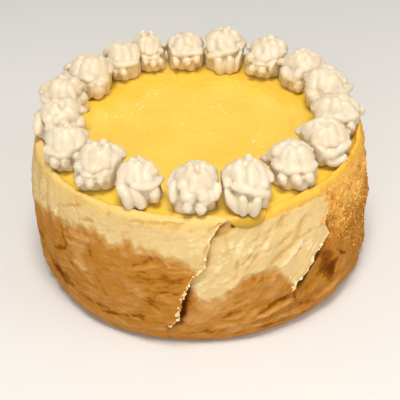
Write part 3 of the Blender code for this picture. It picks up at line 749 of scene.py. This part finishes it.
draw = random.Random(77)
flakes = []
for which, middle, spread, count in FLAKE_CLUSTERS:
    tear, jags = (left_tear, LEFT_JAGS) if which == "left" else (right_tear, RIGHT_JAGS)
    for _ in range(count):
        height = 0.001 * (middle + draw.uniform(-spread, spread))
        azimuth = float(tear(height) + jag(height, jags)) + draw.uniform(-0.75, 0.10)
        size = draw.uniform(*FLAKE_SIZES) * draw.uniform(0.7, 1.1)
        flakes.append((azimuth, height, size, draw.uniform(0.35, 1.0)))
crumbs = []
while len(crumbs) < CRUMB_COUNT:
    azimuth, height = draw.uniform(41, 202), draw.uniform(0.006, 0.0635)
    low_limit = np.interp(azimuth, (41, 44, 50, 58, 70, 202), (0.040, 0.036, 0.033, 0.020, 0.008, 0.008))
    too_low = height < low_limit + draw.uniform(-0.004, 0.004)
    if not (too_low or height > rim_height(azimuth) - 0.0030 or azimuth < right_tear(height) + 0.8):
        size = draw.uniform(*CRUMB_SIZES) * draw.uniform(0.6, 1.1)
        crumbs.append((azimuth, height, size, draw.random()))

BIT_PALE, BIT_GOLD = (0.86, 0.70, 0.42), (0.84, 0.54, 0.18)
BIT_ORANGE, BIT_BROWN = (0.80, 0.38, 0.06), (0.42, 0.16, 0.022)
for label, places, dark, light in (
    ("tear_flakes", flakes, BIT_GOLD, BIT_PALE), ("crust_crumbs", crumbs, BIT_BROWN, BIT_GOLD),
):
    bit = Finish(label, Specular_IOR_Level=0.2, Subsurface_Weight=0.10, Subsurface_Scale=0.001)
    own = bit.painted("tone") + (bit.noise(0.0006) - 0.5) * 0.5
    coats = [(own.step(0.05, 0.75), light)]
    if light == BIT_GOLD:
        coats.append((own.step(0.25, 0.45) * own.step(0.75, 0.55), BIT_ORANGE))
    bit.shade(Base_Color=bit.layered(dark, *coats), Roughness=0.6 + bit.noise(0.0005) * 0.2)
    add_piece(label, bits(label, places, len(places)), bit.material, "baked_skin")


# The lemon curd: poured over the baked top while loose, so it lies level with faint rings from the
# spatula and a few burst bubbles, rounds off against the rim, and runs over it in one drip.
CURD_EDGE_LAP = 0.0004  # how far the curd wets the rim beyond its level edge
CURD_SINK = 0.0002  # how far its edge and underside sink into the skin
CURD_LOW = CURD_LEVEL - FLOOR_DROP + 0.0002  # its underside, just clear of the hollow's floor
CURD_FOOT = 0.0064  # how far inside its edge the underside turns level
DRIP_LENGTH, DRIP_THICKNESS = 0.0072, 0.0016
INNER_ROWS, FLOW_ROWS = 56, 28  # rings of points inside the hollow's slope, and from there to the edge
SLOPE_STEP = 0.0010  # how far to either side of a point the slope under it is taken
SMOOTHINGS = 10
SWIRL_MIDDLE, SWIRL_WIDTH = (0.002, 0.004), 0.0052
BUBBLE_CELL = 0.0034

curd_columns = np.concatenate([
    np.linspace(-180, DRIP_AZIMUTH - DRIP_HALF_ANGLE, 310, endpoint=False),
    DRIP_AZIMUTH + DRIP_HALF_ANGLE * np.sin(np.radians(np.linspace(-90, 90, 61))),
    np.linspace(DRIP_AZIMUTH + DRIP_HALF_ANGLE, 180, 258, endpoint=False)[1:],
])


def flow_lines(azimuth):
    """The body's outline from the hollow's slope over the rim, for each azimuth, rounded a little."""
    radii, heights = upper_outline(azimuth)
    for drop in (0.0060, 0.0100, 0.0140):
        height = rim_height(azimuth) - drop
        radii = np.concatenate([radii, side_radius(azimuth, leaned(azimuth, height), height)[None]])
        heights = np.concatenate([heights, height[None]])
    return rounded(radii, 1), rounded(heights, 1)


flow_radii, flow_heights = flow_lines(curd_columns)
top_rings, under_rings, runs = [], [], []
for index, azimuth in enumerate(curd_columns):
    radii, heights = flow_radii[:, index], flow_heights[:, index]
    lengths = np.concatenate([[0], np.cumsum(np.hypot(np.diff(radii), np.diff(heights)))])
    edge = float(curd_edge(azimuth))
    at_level = float(np.interp(edge, radii[:6], lengths[:6]))
    across = min(abs(float(wrapped(azimuth - DRIP_AZIMUTH))) / DRIP_HALF_ANGLE, 1)
    overflow = math.sqrt(1 - across**2)
    end = at_level + CURD_EDGE_LAP + overflow * (DRIP_LENGTH - CURD_EDGE_LAP)
    share = np.sin(np.linspace(0, np.pi / 2, FLOW_ROWS)) ** 0.9
    length = share * end
    radius, height = np.interp(length, lengths, radii), np.interp(length, lengths, heights)
    ahead, back = length + SLOPE_STEP, length - SLOPE_STEP
    run = np.interp(ahead, lengths, radii) - np.interp(back, lengths, radii)
    rise = np.interp(ahead, lengths, heights) - np.interp(back, lengths, heights)
    out_r, out_h = -rise / np.hypot(run, rise), run / np.hypot(run, rise)
    over = smooth(at_level + 0.0008, at_level + 0.0035, length)
    full = DRIP_THICKNESS * (0.45 + 0.45 * np.sin(np.pi * share**2.5))
    closing = np.sqrt(np.maximum(1 - share**6, 0))
    upright = np.maximum(CURD_LEVEL - height, 0.0007 * closing - CURD_SINK)
    thick = (1 - over) * upright + over * ((full + CURD_SINK) * closing - CURD_SINK)
    tilt_r, tilt_h = over * out_r, over * out_h + (1 - over)
    top = np.stack([radius + tilt_r * thick, height + tilt_h * thick], axis=-1)
    under = np.stack([radius - out_r * CURD_SINK, height - out_h * CURD_SINK], axis=-1)
    for _ in range(SMOOTHINGS if overflow > 0 else 0):
        eased = 0.25 * top[:-2] + 0.5 * top[1:-1] + 0.25 * top[2:]
        top[1:-2] += (eased - top[1:-1])[:-1] * overflow
    top_rings.append(top)
    under_rings.append(under)
    runs.append(over * overflow)
top_rings, under_rings = np.array(top_rings).swapaxes(0, 1), np.array(under_rings).swapaxes(0, 1)
inner_shares = np.linspace(0, 1, INNER_ROWS)[1:, None, None]
inner = np.array([0, CURD_LEVEL]) * (1 - inner_shares) + top_rings[0] * inner_shares
floor_ring = np.stack([curd_edge(curd_columns) - CURD_FOOT, np.full(curd_columns.shape, CURD_LOW)], axis=-1)
curd_rings = np.concatenate([inner, top_rings[1:], under_rings[::-1], floor_ring[None]])
curd_spots = placed(curd_rings[..., 0], curd_columns, curd_rings[..., 1])

# Faint rings, and a slow unevenness, fading out at the edge.
top_count = len(inner) + len(top_rings) - 1
face = curd_spots[:top_count]
off = face[..., :2] - SWIRL_MIDDLE
far = np.hypot(off[..., 0], off[..., 1])
turn = np.arctan2(off[..., 1], off[..., 0])
wander = grain(face * (1, 1, 0), 0.030, 31, 2)
swirl = np.sin(math.tau * (far / SWIRL_WIDTH + 0.5 * turn / math.pi) + 2.2 * wander)
swirl = swirl * (0.45 + 0.55 * grain(face * (1, 1, 0), 0.022, 32, 1)) * smooth(0.056, 0.040, far)
inside = smooth(-0.0008, -0.0035, curd_rings[:top_count, :, 0] - curd_edge(curd_columns))
face[..., 2] += inside * (0.00006 * swirl + 0.00012 * wander)
middle_height = float(face[0, :, 2].mean())
curd_mesh = closed_grid("lemon_curd_pour", curd_spots, (0, 0, middle_height), (0, 0, CURD_LOW))
running = np.zeros(curd_spots.shape[:2])
running[len(inner) - 1:top_count] = np.array(runs).T
# The rings are kept for the finish too, which paints their troughs deeper: painted shade.
rings = np.zeros(curd_spots.shape[:2])
rings[:top_count] = swirl * inside
paint_rings(curd_mesh, running=running, rings=rings)

CURD_YELLOW, CURD_DEEP, DRIP_THIN_AND_SHADED = (0.85, 0.565, 0.068), (0.82, 0.515, 0.050), (0.49, 0.285, 0.008)
BUBBLE_AND_GLINT_PALE = (0.95, 0.80, 0.40)
curd = Finish(
    "lemon_curd", Subsurface_Weight=0.20, Subsurface_Radius=(1.0, 0.6, 0.1), Subsurface_Scale=0.004,
    Coat_Roughness=0.08,
)
cloud, pores = curd.noise(0.020), curd.noise(0.0012)
cell = curd.node("ShaderNodeTexVoronoi", None, {"Vector": curd.place(), "Scale": 1 / BUBBLE_CELL}, "Distance")
# Burst bubbles, painted pale: partly their own colour, partly painted glints.
bubble = cell.step(0.24, 0.12) * curd.noise(0.013, 1).step(0.54, 0.60)
# Where the curd runs over the rim it is darker: partly thin curd over the skin, partly painted shade under
# the cream.
run_down = curd.painted("running").step(0.0, 0.85)
tint = curd.layered(
    CURD_YELLOW,
    # Painted shade: deeper in the rings' troughs.
    ((cloud - curd.painted("rings") * 0.12).step(0.30, 0.72), CURD_DEEP),
    (bubble * 0.8, BUBBLE_AND_GLINT_PALE),
    (run_down, DRIP_THIN_AND_SHADED),
)
rough = 0.20 + pores * 0.04 + run_down * 0.2
bumps = curd.raised(cloud * 0.5 + pores * 0.03 + bubble * 0.5, 0.0006, 0.25)
curd.shade(Base_Color=tint, Roughness=rough, Normal=bumps, Coat_Weight=0.4 - run_down * 0.35)
add_piece("lemon_curd_pour", curd_mesh, curd.material, "lemon_curd", "lemon_curd")


# The cream: eighteen stars of whipped cream piped side by side through an open star nozzle. Each is
# squeezed out as a foot of short legs, swells into a ledge and ends in a ridged bulb with small knobs.
CREAM_HEIGHT = 0.0155
CREAM_GAP = 0.0002  # between two stars, and under each
CREAM_VOXEL = 0.00044
# azimuth, ring radius and width as shares of the cake's radius, height as a share of CREAM_HEIGHT,
# ridges, twist in degrees, lean of the peak (right, outward), and height of the prongs on top.
DOLLOPS = (
    (-2.0, 0.795, 0.295, 1.04, 7, 20, (0.05, -0.05), 0.16),
    (17.4, 0.816, 0.292, 1.08, 7, 8, (0.00, -0.05), 0.04),
    (39.7, 0.775, 0.312, 0.98, 6, -14, (-0.05, -0.08), 0.04),
    (61.0, 0.778, 0.312, 1.00, 7, 16, (-0.12, 0.05), 0.06),
    (83.1, 0.800, 0.300, 0.98, 6, 24, (-0.05, -0.10), 0.05),
    (105.4, 0.804, 0.300, 1.00, 7, -18, (0.08, 0.00), 0.08),
    (125.9, 0.806, 0.290, 1.00, 6, 14, (0.00, 0.10), 0.08),
    (146.1, 0.800, 0.295, 1.02, 7, 20, (-0.08, 0.05), 0.12),
    (167.2, 0.805, 0.305, 1.06, 7, -12, (0.05, 0.10), 0.16),
    (185.2, 0.795, 0.290, 1.00, 6, 18, (-0.06, -0.05), 0.05),
    (201.6, 0.825, 0.240, 1.06, 6, 10, (0.10, 0.05), 0.20),
    (215.0, 0.830, 0.265, 1.02, 6, 22, (0.05, -0.06), 0.05),
    (235.1, 0.822, 0.310, 1.04, 7, -16, (-0.04, 0.00), 0.08),
    (255.0, 0.816, 0.305, 1.00, 7, 12, (0.10, 0.05), 0.06),
    (276.5, 0.796, 0.310, 1.04, 7, 20, (0.00, -0.10), 0.06),
    (297.0, 0.812, 0.290, 1.02, 6, -20, (0.08, 0.06), 0.05),
    (315.9, 0.772, 0.300, 1.02, 7, 16, (0.14, -0.08), 0.16),
    (337.0, 0.792, 0.270, 1.03, 6, 26, (-0.06, -0.05), 0.05),
)
# How many times its width each star spreads before its neighbours press it in. The six that are pressed
# the most have slimmer bulbs.
SPREAD = 1.10
PRESSED = (6, 7, 8, 9, 12, 13)
SPREADS = {1: 1.08, 2: 1.08, 3: 1.03, 18: 1.05} | dict.fromkeys(PRESSED, 1.16)
# Shares of the star's half width.
LEG_REACH, LEDGE_REACH = 0.80, 0.83
BULB_REACH, SLIM_BULB_REACH = 0.74, 0.72
# Shares of its height: where the ledge sits and the legs start, and the waist between ledge and bulb.
LEDGE_HEIGHT, WAIST = 0.40, 0.50
SHOULDER_SINK, SHOULDER_TUCK = 0.13, 0.05
WOBBLE, WOBBLE_SIZE = 0.00042, 0.0065  # unevenness all over
PRESSED_SOFTLY, SEATED_SOFTLY = 0.0005, 0.0003  # how gradually it flattens against neighbours and seat
# The lobes read off the seven stars nearest the camera. Each is a strand from one place to another:
# bearing in degrees from the star's right towards its outer side, height and reach as percentages of the
# star's height and half width, the same for its end, and its own radius as a percentage.
LOBES = {
    1: (
        (177, 93, 18, -130, 91, 32, 19), (-2, 93, 10, -68, 93, 33, 15), (176, 93, 53, 121, 93, 19, 17),
        (176, 82, 57, 102, 89, 38, 19), (134, 79, 66, 123, 78, 67, 17), (-7, 84, 34, 22, 80, 45, 28),
        (97, 75, 65, 52, 84, 47, 21), (112, 63, 71, 104, 48, 79, 24), (73, 68, 74, 67, 44, 86, 21),
        (105, 37, 92, 105, 25, 91, 17), (76, 32, 89, 76, 20, 87, 20), (161, 67, 77, 140, 41, 91, 17),
        (23, 65, 78, 40, 47, 89, 17), (50, 56, 81, 53, 46, 91, 15),
    ),
    2: (
        (-160, 93, 38, -134, 88, 46, 17), (-158, 93, 4, 176, 93, 5, 19), (-126, 82, 62, -177, 84, 57, 17),
        (-153, 93, 23, 140, 81, 57, 21), (59, 93, 18, 101, 79, 61, 21), (32, 86, 47, 67, 71, 73, 19),
        (23, 79, 79, 35, 70, 77, 17), (-151, 70, 72, 170, 64, 74, 21), (142, 71, 74, 109, 66, 75, 19),
        (99, 60, 76, 69, 49, 83, 19), (158, 46, 88, 135, 13, 87, 19), (122, 44, 89, 120, 9, 87, 18),
        (93, 39, 89, 97, 6, 85, 19),
    ),
    3: (
        (-134, 93, 37, -98, 81, 49, 23), (-134, 91, 70, -145, 72, 69, 21), (-148, 88, 21, 162, 76, 55, 26),
        (20, 91, 22, 85, 82, 48, 23), (-135, 62, 88, -129, 48, 85, 22), (-173, 68, 76, 166, 68, 76, 19),
        (149, 67, 74, 124, 71, 71, 21), (103, 68, 74, 77, 67, 74, 21), (160, 45, 88, 155, 36, 91, 19),
        (130, 50, 83, 126, 41, 89, 19), (102, 53, 81, 102, 44, 89, 18),
    ),
    4: (
        (-110, 91, 48, -109, 76, 51, 28), (-166, 92, 15, 154, 75, 61, 24), (-154, 89, 36, -176, 75, 66, 20),
        (96, 91, 24, 129, 76, 63, 22), (46, 80, 59, 101, 78, 63, 20), (177, 62, 75, 158, 48, 83, 20),
        (150, 42, 85, 136, 48, 81, 22), (119, 54, 80, 90, 64, 77, 18), (146, 27, 93, 125, 17, 91, 15),
        (125, 17, 91, 113, 29, 93, 15), (170, 46, 90, 169, 38, 93, 16),
    ),
    16: (
        (78, 92, 9, 43, 74, 58, 28), (-41, 87, 23, 5, 71, 62, 28), (-72, 91, 61, -24, 71, 67, 24),
        (-72, 93, 81, -72, 90, 78, 15), (126, 84, 45, 79, 82, 52, 22), (80, 67, 77, 46, 62, 78, 17),
        (41, 55, 77, 6, 63, 76, 19), (6, 63, 76, -17, 62, 76, 19), (51, 41, 89, 47, 32, 90, 19),
        (24, 41, 91, 21, 33, 92, 17),
    ),
    17: (
        (-52, 93, 9, 14, 93, 19, 16), (-51, 93, 54, -53, 89, 44, 18), (-50, 86, 88, -50, 72, 66, 23),
        (63, 91, 22, 46, 74, 63, 24), (0, 86, 36, 23, 74, 63, 24), (-20, 79, 60, -1, 68, 74, 22),
        (123, 86, 45, 88, 79, 62, 20), (71, 73, 70, 46, 72, 70, 20), (39, 53, 77, 13, 51, 78, 22),
        (7, 59, 80, -15, 60, 80, 16), (102, 71, 73, 99, 65, 75, 20), (69, 57, 69, 68, 45, 77, 28),
        (59, 40, 92, 59, 32, 93, 17), (83, 42, 92, 83, 32, 94, 16), (16, 44, 89, 18, 38, 91, 18),
        (36, 46, 91, 35, 38, 93, 16),
    ),
    18: (
        (152, 93, 8, 94, 78, 52, 27), (151, 93, 48, 117, 73, 69, 21), (-73, 89, 32, 30, 77, 61, 23),
        (48, 93, 12, 63, 76, 65, 21), (76, 71, 77, 44, 62, 79, 17), (44, 62, 79, 16, 62, 79, 17),
        (16, 62, 80, -24, 54, 84, 15), (120, 61, 72, 104, 44, 84, 23), (97, 42, 85, 91, 14, 83, 23),
        (80, 56, 76, 61, 15, 85, 21), (24, 44, 82, 27, 27, 83, 25),
    ),
}
# Whose lobes each star carries on the side that shows and on its back; below 0 they are mirrored.
DRESS = {
    1: (1, 18), 2: (2, -3), 3: (3, 16), 4: (4, 1), 5: (-3, 17), 6: (18, -4), 7: (-1, 2), 8: (17, -16),
    9: (-2, 4), 10: (3, 18), 11: (-17, 1), 12: (16, -3), 13: (-18, 2), 14: (-4, 17), 15: (1, -2),
    16: (16, 3), 17: (17, -1), 18: (18, 4),
}
LOBE_FULLNESS = np.array([0.86, 1.0, 1.06, 1.0, 0.86])
TUBE_SIDES = 14


class Squeeze:
    """Cream as a heap of closed round strands, which are merged into one skin."""

    def __init__(self):
        self.points, self.faces = [], []

    def strand(self, path, radii, across):
        """A strand with round ends; across is a level direction that its path never follows."""
        path, radii = np.asarray(path, float), np.asarray(radii, float)
        along = np.gradient(path, axis=0)
        along /= np.linalg.norm(along, axis=1, keepdims=True)
        caps = np.radians([75, 50, 25])
        head = path[0] - along[0] * radii[0] * np.sin(caps)[:, None]
        tail = path[-1] + along[-1] * radii[-1] * np.sin(caps[::-1])[:, None]
        ends = np.stack([path[0] - along[0] * radii[0], path[-1] + along[-1] * radii[-1]])
        path = np.concatenate([head, path, tail])
        radii = np.concatenate([radii[0] * np.cos(caps), radii, radii[-1] * np.cos(caps[::-1])])
        along = np.concatenate([along[:1].repeat(3, 0), along, along[-1:].repeat(3, 0)])
        up = np.cross(along, np.broadcast_to(across, along.shape))
        up /= np.linalg.norm(up, axis=1, keepdims=True)
        side = np.cross(up, along)
        angles = np.arange(TUBE_SIDES) * math.tau / TUBE_SIDES
        rings = path[:, None] + radii[:, None, None] * (
            np.cos(angles)[:, None] * side[:, None] + np.sin(angles)[:, None] * up[:, None]
        )
        start = len(self.points)
        self.points += [ends[0].tolist()] + rings.reshape(-1, 3).tolist() + [ends[1].tolist()]
        grid = start + 1 + np.arange(len(path) * TUBE_SIDES).reshape(len(path), TUBE_SIDES)
        beside = np.roll(grid, -1, axis=1)
        quads = np.stack([grid[:-1], beside[:-1], beside[1:], grid[1:]], axis=-1).reshape(-1, 4)
        self.faces += quads.tolist()
        self.faces += [(start, b, a) for a, b in zip(grid[0].tolist(), beside[0].tolist())]
        self.faces += [(len(self.points) - 1, a, b) for a, b in zip(grid[-1].tolist(), beside[-1].tolist())]

    def merged(self, name):
        """The strands as one smooth closed mesh."""
        mesh = bpy.data.meshes.new(name)
        mesh.from_pydata(self.points, [], self.faces)
        heap = add_object(name, mesh)
        skin_over = heap.modifiers.new("skin", "REMESH")
        skin_over.mode = "VOXEL"
        skin_over.voxel_size = CREAM_VOXEL
        soften = heap.modifiers.new("soften", "SMOOTH")
        soften.factor, soften.iterations = 0.5, 3
        graph = bpy.context.evaluated_depsgraph_get()
        merged = bpy.data.meshes.new_from_object(heap.evaluated_get(graph))
        bpy.data.objects.remove(heap, do_unlink=True)
        bpy.data.meshes.remove(mesh)
        merged.name = name
        return merged


seats = [body_tree, tree_of(curd_mesh)]
SEAT_LOOK = 0.010  # how far above the curd a point looks down to find its seat, and how far below
SEAT_ZONE = 0.006  # how high above the curd a point may need its seat


def seat_under(points):
    """Height of the curd or the rim below each point, looking from above."""
    down = Vector((0, 0, -1))
    found = []
    for x, y in points[:, :2].tolist():
        start = Vector((x, y, CURD_LEVEL + SEAT_LOOK))
        hits = [seat.ray_cast(start, down, 2 * SEAT_LOOK)[0] for seat in seats]
        found.append(max([hit.z for hit in hits if hit is not None], default=0.0))
    return np.array(found)


def soft_above(value, softness):
    """About the value where it is well above zero, and never below zero."""
    return 0.5 * (value + np.hypot(value, softness))


def tube_radius(envelope, half_angle, depth):
    """Radius of a strand that fills this half angle of a ring, with creases of this depth between strands."""
    keep = 1 - depth
    cosine, sine = np.cos(half_angle), np.sin(half_angle)
    return envelope * ((1 - keep * cosine) ** 2 + (keep * sine) ** 2) / (2 * (1 - keep * cosine))


def sideways(angle):
    """The level direction across one that points this way."""
    return (-math.sin(angle), math.cos(angle), 0)


class Dollop(Squeeze):
    """One star, squeezed out as strands; their radii and reaches are shares of its half width."""

    def __init__(self, number, azimuth, ring, width, tall, ridges, twist, lean, crown):
        super().__init__()
        self.number, self.azimuth, self.ring = number, azimuth, ring * CAKE_RADIUS
        self.half = SPREADS.get(number, SPREAD) * width * CAKE_RADIUS / 2
        self.tall = tall * CREAM_HEIGHT
        self.bulb_reach = SLIM_BULB_REACH if number in PRESSED else BULB_REACH
        self.ridges, self.twist, self.lean, self.crown = ridges, twist, lean, crown
        self.draw = random.Random(100 + number)
        self.phase = math.radians(self.draw.uniform(0, 360))
        self.reach = [self.draw.uniform(0.92, 1.08) for _ in range(ridges)]
        self.cuts = [(k + self.draw.uniform(-0.14, 0.14)) / ridges for k in range(ridges)]
        self.cuts.append(self.cuts[0] + 1)
        self.sway = [self.draw.uniform(0, math.tau) for _ in range(4)]

    def spot(self, share, angle, radius):
        """A point in metres from the middle of its foot: to the right, outward and up."""
        spread = 1 + 0.05 * np.sin(angle + self.sway[2]) + 0.03 * np.sin(3 * angle + self.sway[3])
        right, outward = (
            self.half * (radius * spread * way(angle) + lean * np.maximum(share, 0) ** 1.5)
            for way, lean in zip((np.cos, np.sin), self.lean)
        )
        return np.stack(np.broadcast_arrays(right, outward, share * self.tall), axis=-1)

    def squeeze_middle(self):
        """A solid middle, up through the bulb."""
        shares = np.array([0.08, 0.25, 0.42, 0.60, 0.75])
        fullness = np.array([0.60, 0.62, 0.57, 0.46, 0.32])
        self.strand(self.spot(shares, 0, 0), self.half * fullness, (0, 1, 0))

    def squeeze_legs(self):
        """Fat fingers side by side, splayed out and down."""
        legs, draw = self.ridges + 3, self.draw
        for k in range(legs):
            leg = self.phase + math.tau * (k + draw.uniform(-0.15, 0.15)) / legs
            thick = draw.uniform(0.22, 0.29)
            out = LEG_REACH * draw.uniform(0.88, 1.05)
            foot = draw.uniform(0.04, 0.14)
            steps = np.linspace(0, 1, 7)
            rise = LEDGE_HEIGHT + (foot - LEDGE_HEIGHT) * steps**0.9
            path = self.spot(rise, leg, 0.55 + (out - thick - 0.55) * steps**0.8)
            self.strand(path, self.half * (0.24 + (thick - 0.24) * steps), sideways(leg))

    def squeeze_bulb(self, tip):
        """Ridges that swell over the ledge and close in at the top; those towards the tip stand higher."""
        draw = self.draw
        middle_share = 0.5 * (WAIST + 1.0) - 0.04
        for k in range(self.ridges):
            first_cut, next_cut = self.cuts[k], self.cuts[k + 1]
            base = self.phase + math.tau * ((first_cut + next_cut) / 2)
            start, end = WAIST + draw.uniform(-0.04, 0.06), 0.90 + draw.uniform(-0.09, 0.06)
            shares = np.linspace(start, end, 13)
            roundness = 1 - ((shares - middle_share) / (1.0 - middle_share)) ** 2
            envelope = self.bulb_reach * self.reach[k] * draw.uniform(0.92, 1.08)
            envelope = envelope * np.sqrt(np.maximum(roundness, 0.004))
            radii = tube_radius(envelope, math.pi * (next_cut - first_cut), draw.uniform(0.12, 0.26))
            radii = np.maximum(radii, 0.13)
            turn = base + np.radians(1.8 * self.twist) * (shares - LEDGE_HEIGHT)
            lift = self.crown * 0.7 * np.maximum(np.cos(base - tip), 0) * smooth(0.75, 1, shares)
            rise = shares + lift - 0.25 * np.maximum(shares - 0.82, 0)
            path = self.spot(rise, turn, np.maximum(envelope - radii, 0.11))
            self.strand(path, self.half * radii, sideways(base))

    def squeeze_tips(self, tip):
        """Small tips that the nozzle leaves where it is pulled away."""
        draw = self.draw
        for k in range(draw.choice((2, 3, 3))):
            base = tip + 1.7 * k + draw.uniform(-0.4, 0.4)
            steps = np.linspace(0, 1, 5)
            top = 0.96 + 0.5 * self.crown + draw.uniform(-0.03, 0.04)
            path = self.spot(0.86 + (top - 0.86) * steps, base, draw.uniform(0.26, 0.40) * (1 - 0.25 * steps))
            self.strand(path, self.half * (0.23 - 0.08 * steps), sideways(base))

    def squeeze_ledge(self):
        """A ruffled collar round the middle that rises, sinks, swells and thins."""
        first, second, third, fourth = self.sway
        folds = self.draw.choice((4, 5, 5, 6))
        steps = np.linspace(0, math.tau * 1.02, 90)
        wave = np.sin(folds * steps + first + 0.7 * np.sin(2 * steps + second))
        shares = LEDGE_HEIGHT + 0.07 * np.sin(steps + fourth) + 0.045 * wave
        roll = 0.20 * (1 + 0.22 * np.sin(folds * steps + first + 0.9) + 0.16 * np.sin(3 * steps + third))
        out = LEDGE_REACH * (0.89 + 0.09 * wave + 0.04 * np.sin(2 * steps + fourth)) - roll
        self.strand(self.spot(shares, steps, out), self.half * roll, (0, 0, 1))

    def squeeze_lobes(self):
        """The lobes of one star on the side that shows, and of another on its back."""
        for which, about in zip(DRESS[self.number], (0, 180)):
            flip = -1 if which < 0 else 1
            facing = DOLLOPS[abs(which) - 1][0] + 90
            for *places, thick in LOBES[abs(which)]:
                ends = []
                for bearing, up, away in (places[:3], places[3:]):
                    share, angle = up / 100, self.azimuth + 90 + about + flip * (bearing - facing)
                    inside = 0.94 - 0.36 * float(smooth(0.60, 0.93, share))
                    ends.append(self.spot(share, math.radians(angle), min(away / 100, inside)))
                run = ends[1] - ends[0]
                across = np.cross(run, (0, 0, 1))
                across = across if np.linalg.norm(across) > 1e-5 else (1, 0, 0)
                path = ends[0] + run * np.linspace(0, 1, 5)[:, None]
                self.strand(path, self.half * (thick / 100) * LOBE_FULLNESS, across)

    def set_down(self, before, after):
        """The star as one mesh on the cake, between the azimuths where its neighbours end."""
        self.squeeze_middle()
        self.squeeze_legs()
        tip = self.draw.uniform(0, math.tau)
        self.squeeze_bulb(tip)
        self.squeeze_tips(tip)
        self.squeeze_ledge()
        self.squeeze_lobes()
        mesh = self.merged(f"piped_cream_{self.number:02d}")
        local = points_of(mesh)
        wobble = [grain(local, WOBBLE_SIZE, self.number + axis / 3, 1) for axis in range(3)]
        local += WOBBLE * np.stack(wobble, axis=-1)
        # Its shoulders sink and draw in, so that it is rounded on top.
        share = np.maximum(local[:, 2] / self.tall, 0)
        away = np.hypot(*(local[:, :2] / self.half - share[:, None] ** 1.5 * np.array(self.lean)).T)
        local[:, 2] -= self.tall * SHOULDER_SINK * smooth(0.25, 1.0, away) * smooth(0.40, 1.10, share)
        local[:, :2] *= (1 - SHOULDER_TUCK * smooth(0.60, 1.05, share))[:, None]
        # It stays clear of its neighbours and of what it stands on.
        right, outward = local[:, 0], self.ring + local[:, 1]
        radius, turn = np.hypot(right, outward), np.degrees(np.arctan2(right, outward))
        for limit, way in ((after - self.azimuth, 1), (self.azimuth - before, -1)):
            room = np.radians(limit - way * turn) * radius - CREAM_GAP / 2
            turn = way * (limit - np.degrees((soft_above(room, PRESSED_SOFTLY) + CREAM_GAP / 2) / radius))
        seated = placed(radius, self.azimuth + turn, CURD_LEVEL + CREAM_GAP + local[:, 2])
        low = seated[:, 2] < CURD_LEVEL + SEAT_ZONE
        seat_height = seat_under(seated[low]) + CREAM_GAP
        seated[low, 2] = seat_height + soft_above(seated[low, 2] - seat_height, SEATED_SOFTLY)
        mesh.vertices.foreach_set("co", seated.ravel())
        mesh.update()
        # Painted reflection: its foot is tinted yellow on the side towards the middle of the cake, as by
        # light from the curd.
        near_curd = smooth(0.011, 0.0, seated[:, 2] - CURD_LEVEL)
        paint(mesh, "curd_reflection", near_curd * smooth(-0.002, 0.008, self.ring - radius))
        mesh.shade_smooth()
        return mesh


CREAM_WHITE, CREAM_WARM, CREAM_CURD_REFLECTION = (0.672, 0.580, 0.438), (0.662, 0.553, 0.390), (0.74, 0.56, 0.26)
cream = Finish(
    "whipped_cream", Subsurface_Weight=0.55, Subsurface_Radius=(1.0, 0.8, 0.5), Subsurface_Scale=0.0040
)
cloud, froth = cream.noise(0.010), cream.noise(0.0007)
tint = cream.layered(
    CREAM_WHITE, (cloud.step(0.4, 0.65), CREAM_WARM), (cream.painted("curd_reflection") * 0.75, CREAM_CURD_REFLECTION)
)
cream.shade(Base_Color=tint, Roughness=0.38 + froth * 0.14, Normal=cream.raised(froth, 0.00008, 0.4))

ring_azimuths = [row[0] for row in DOLLOPS]
all_round = [ring_azimuths[-1] - 360, *ring_azimuths, ring_azimuths[0] + 360]
halfway = [(one + other) / 2 for one, other in zip(all_round, all_round[1:])]
for number, (row, before, after) in enumerate(zip(DOLLOPS, halfway, halfway[1:]), 1):
    star = Dollop(number, *row).set_down(before, after)
    add_piece(star.name, star, cream.material, "whipped_cream", f"cream_dollop_{number:02d}")
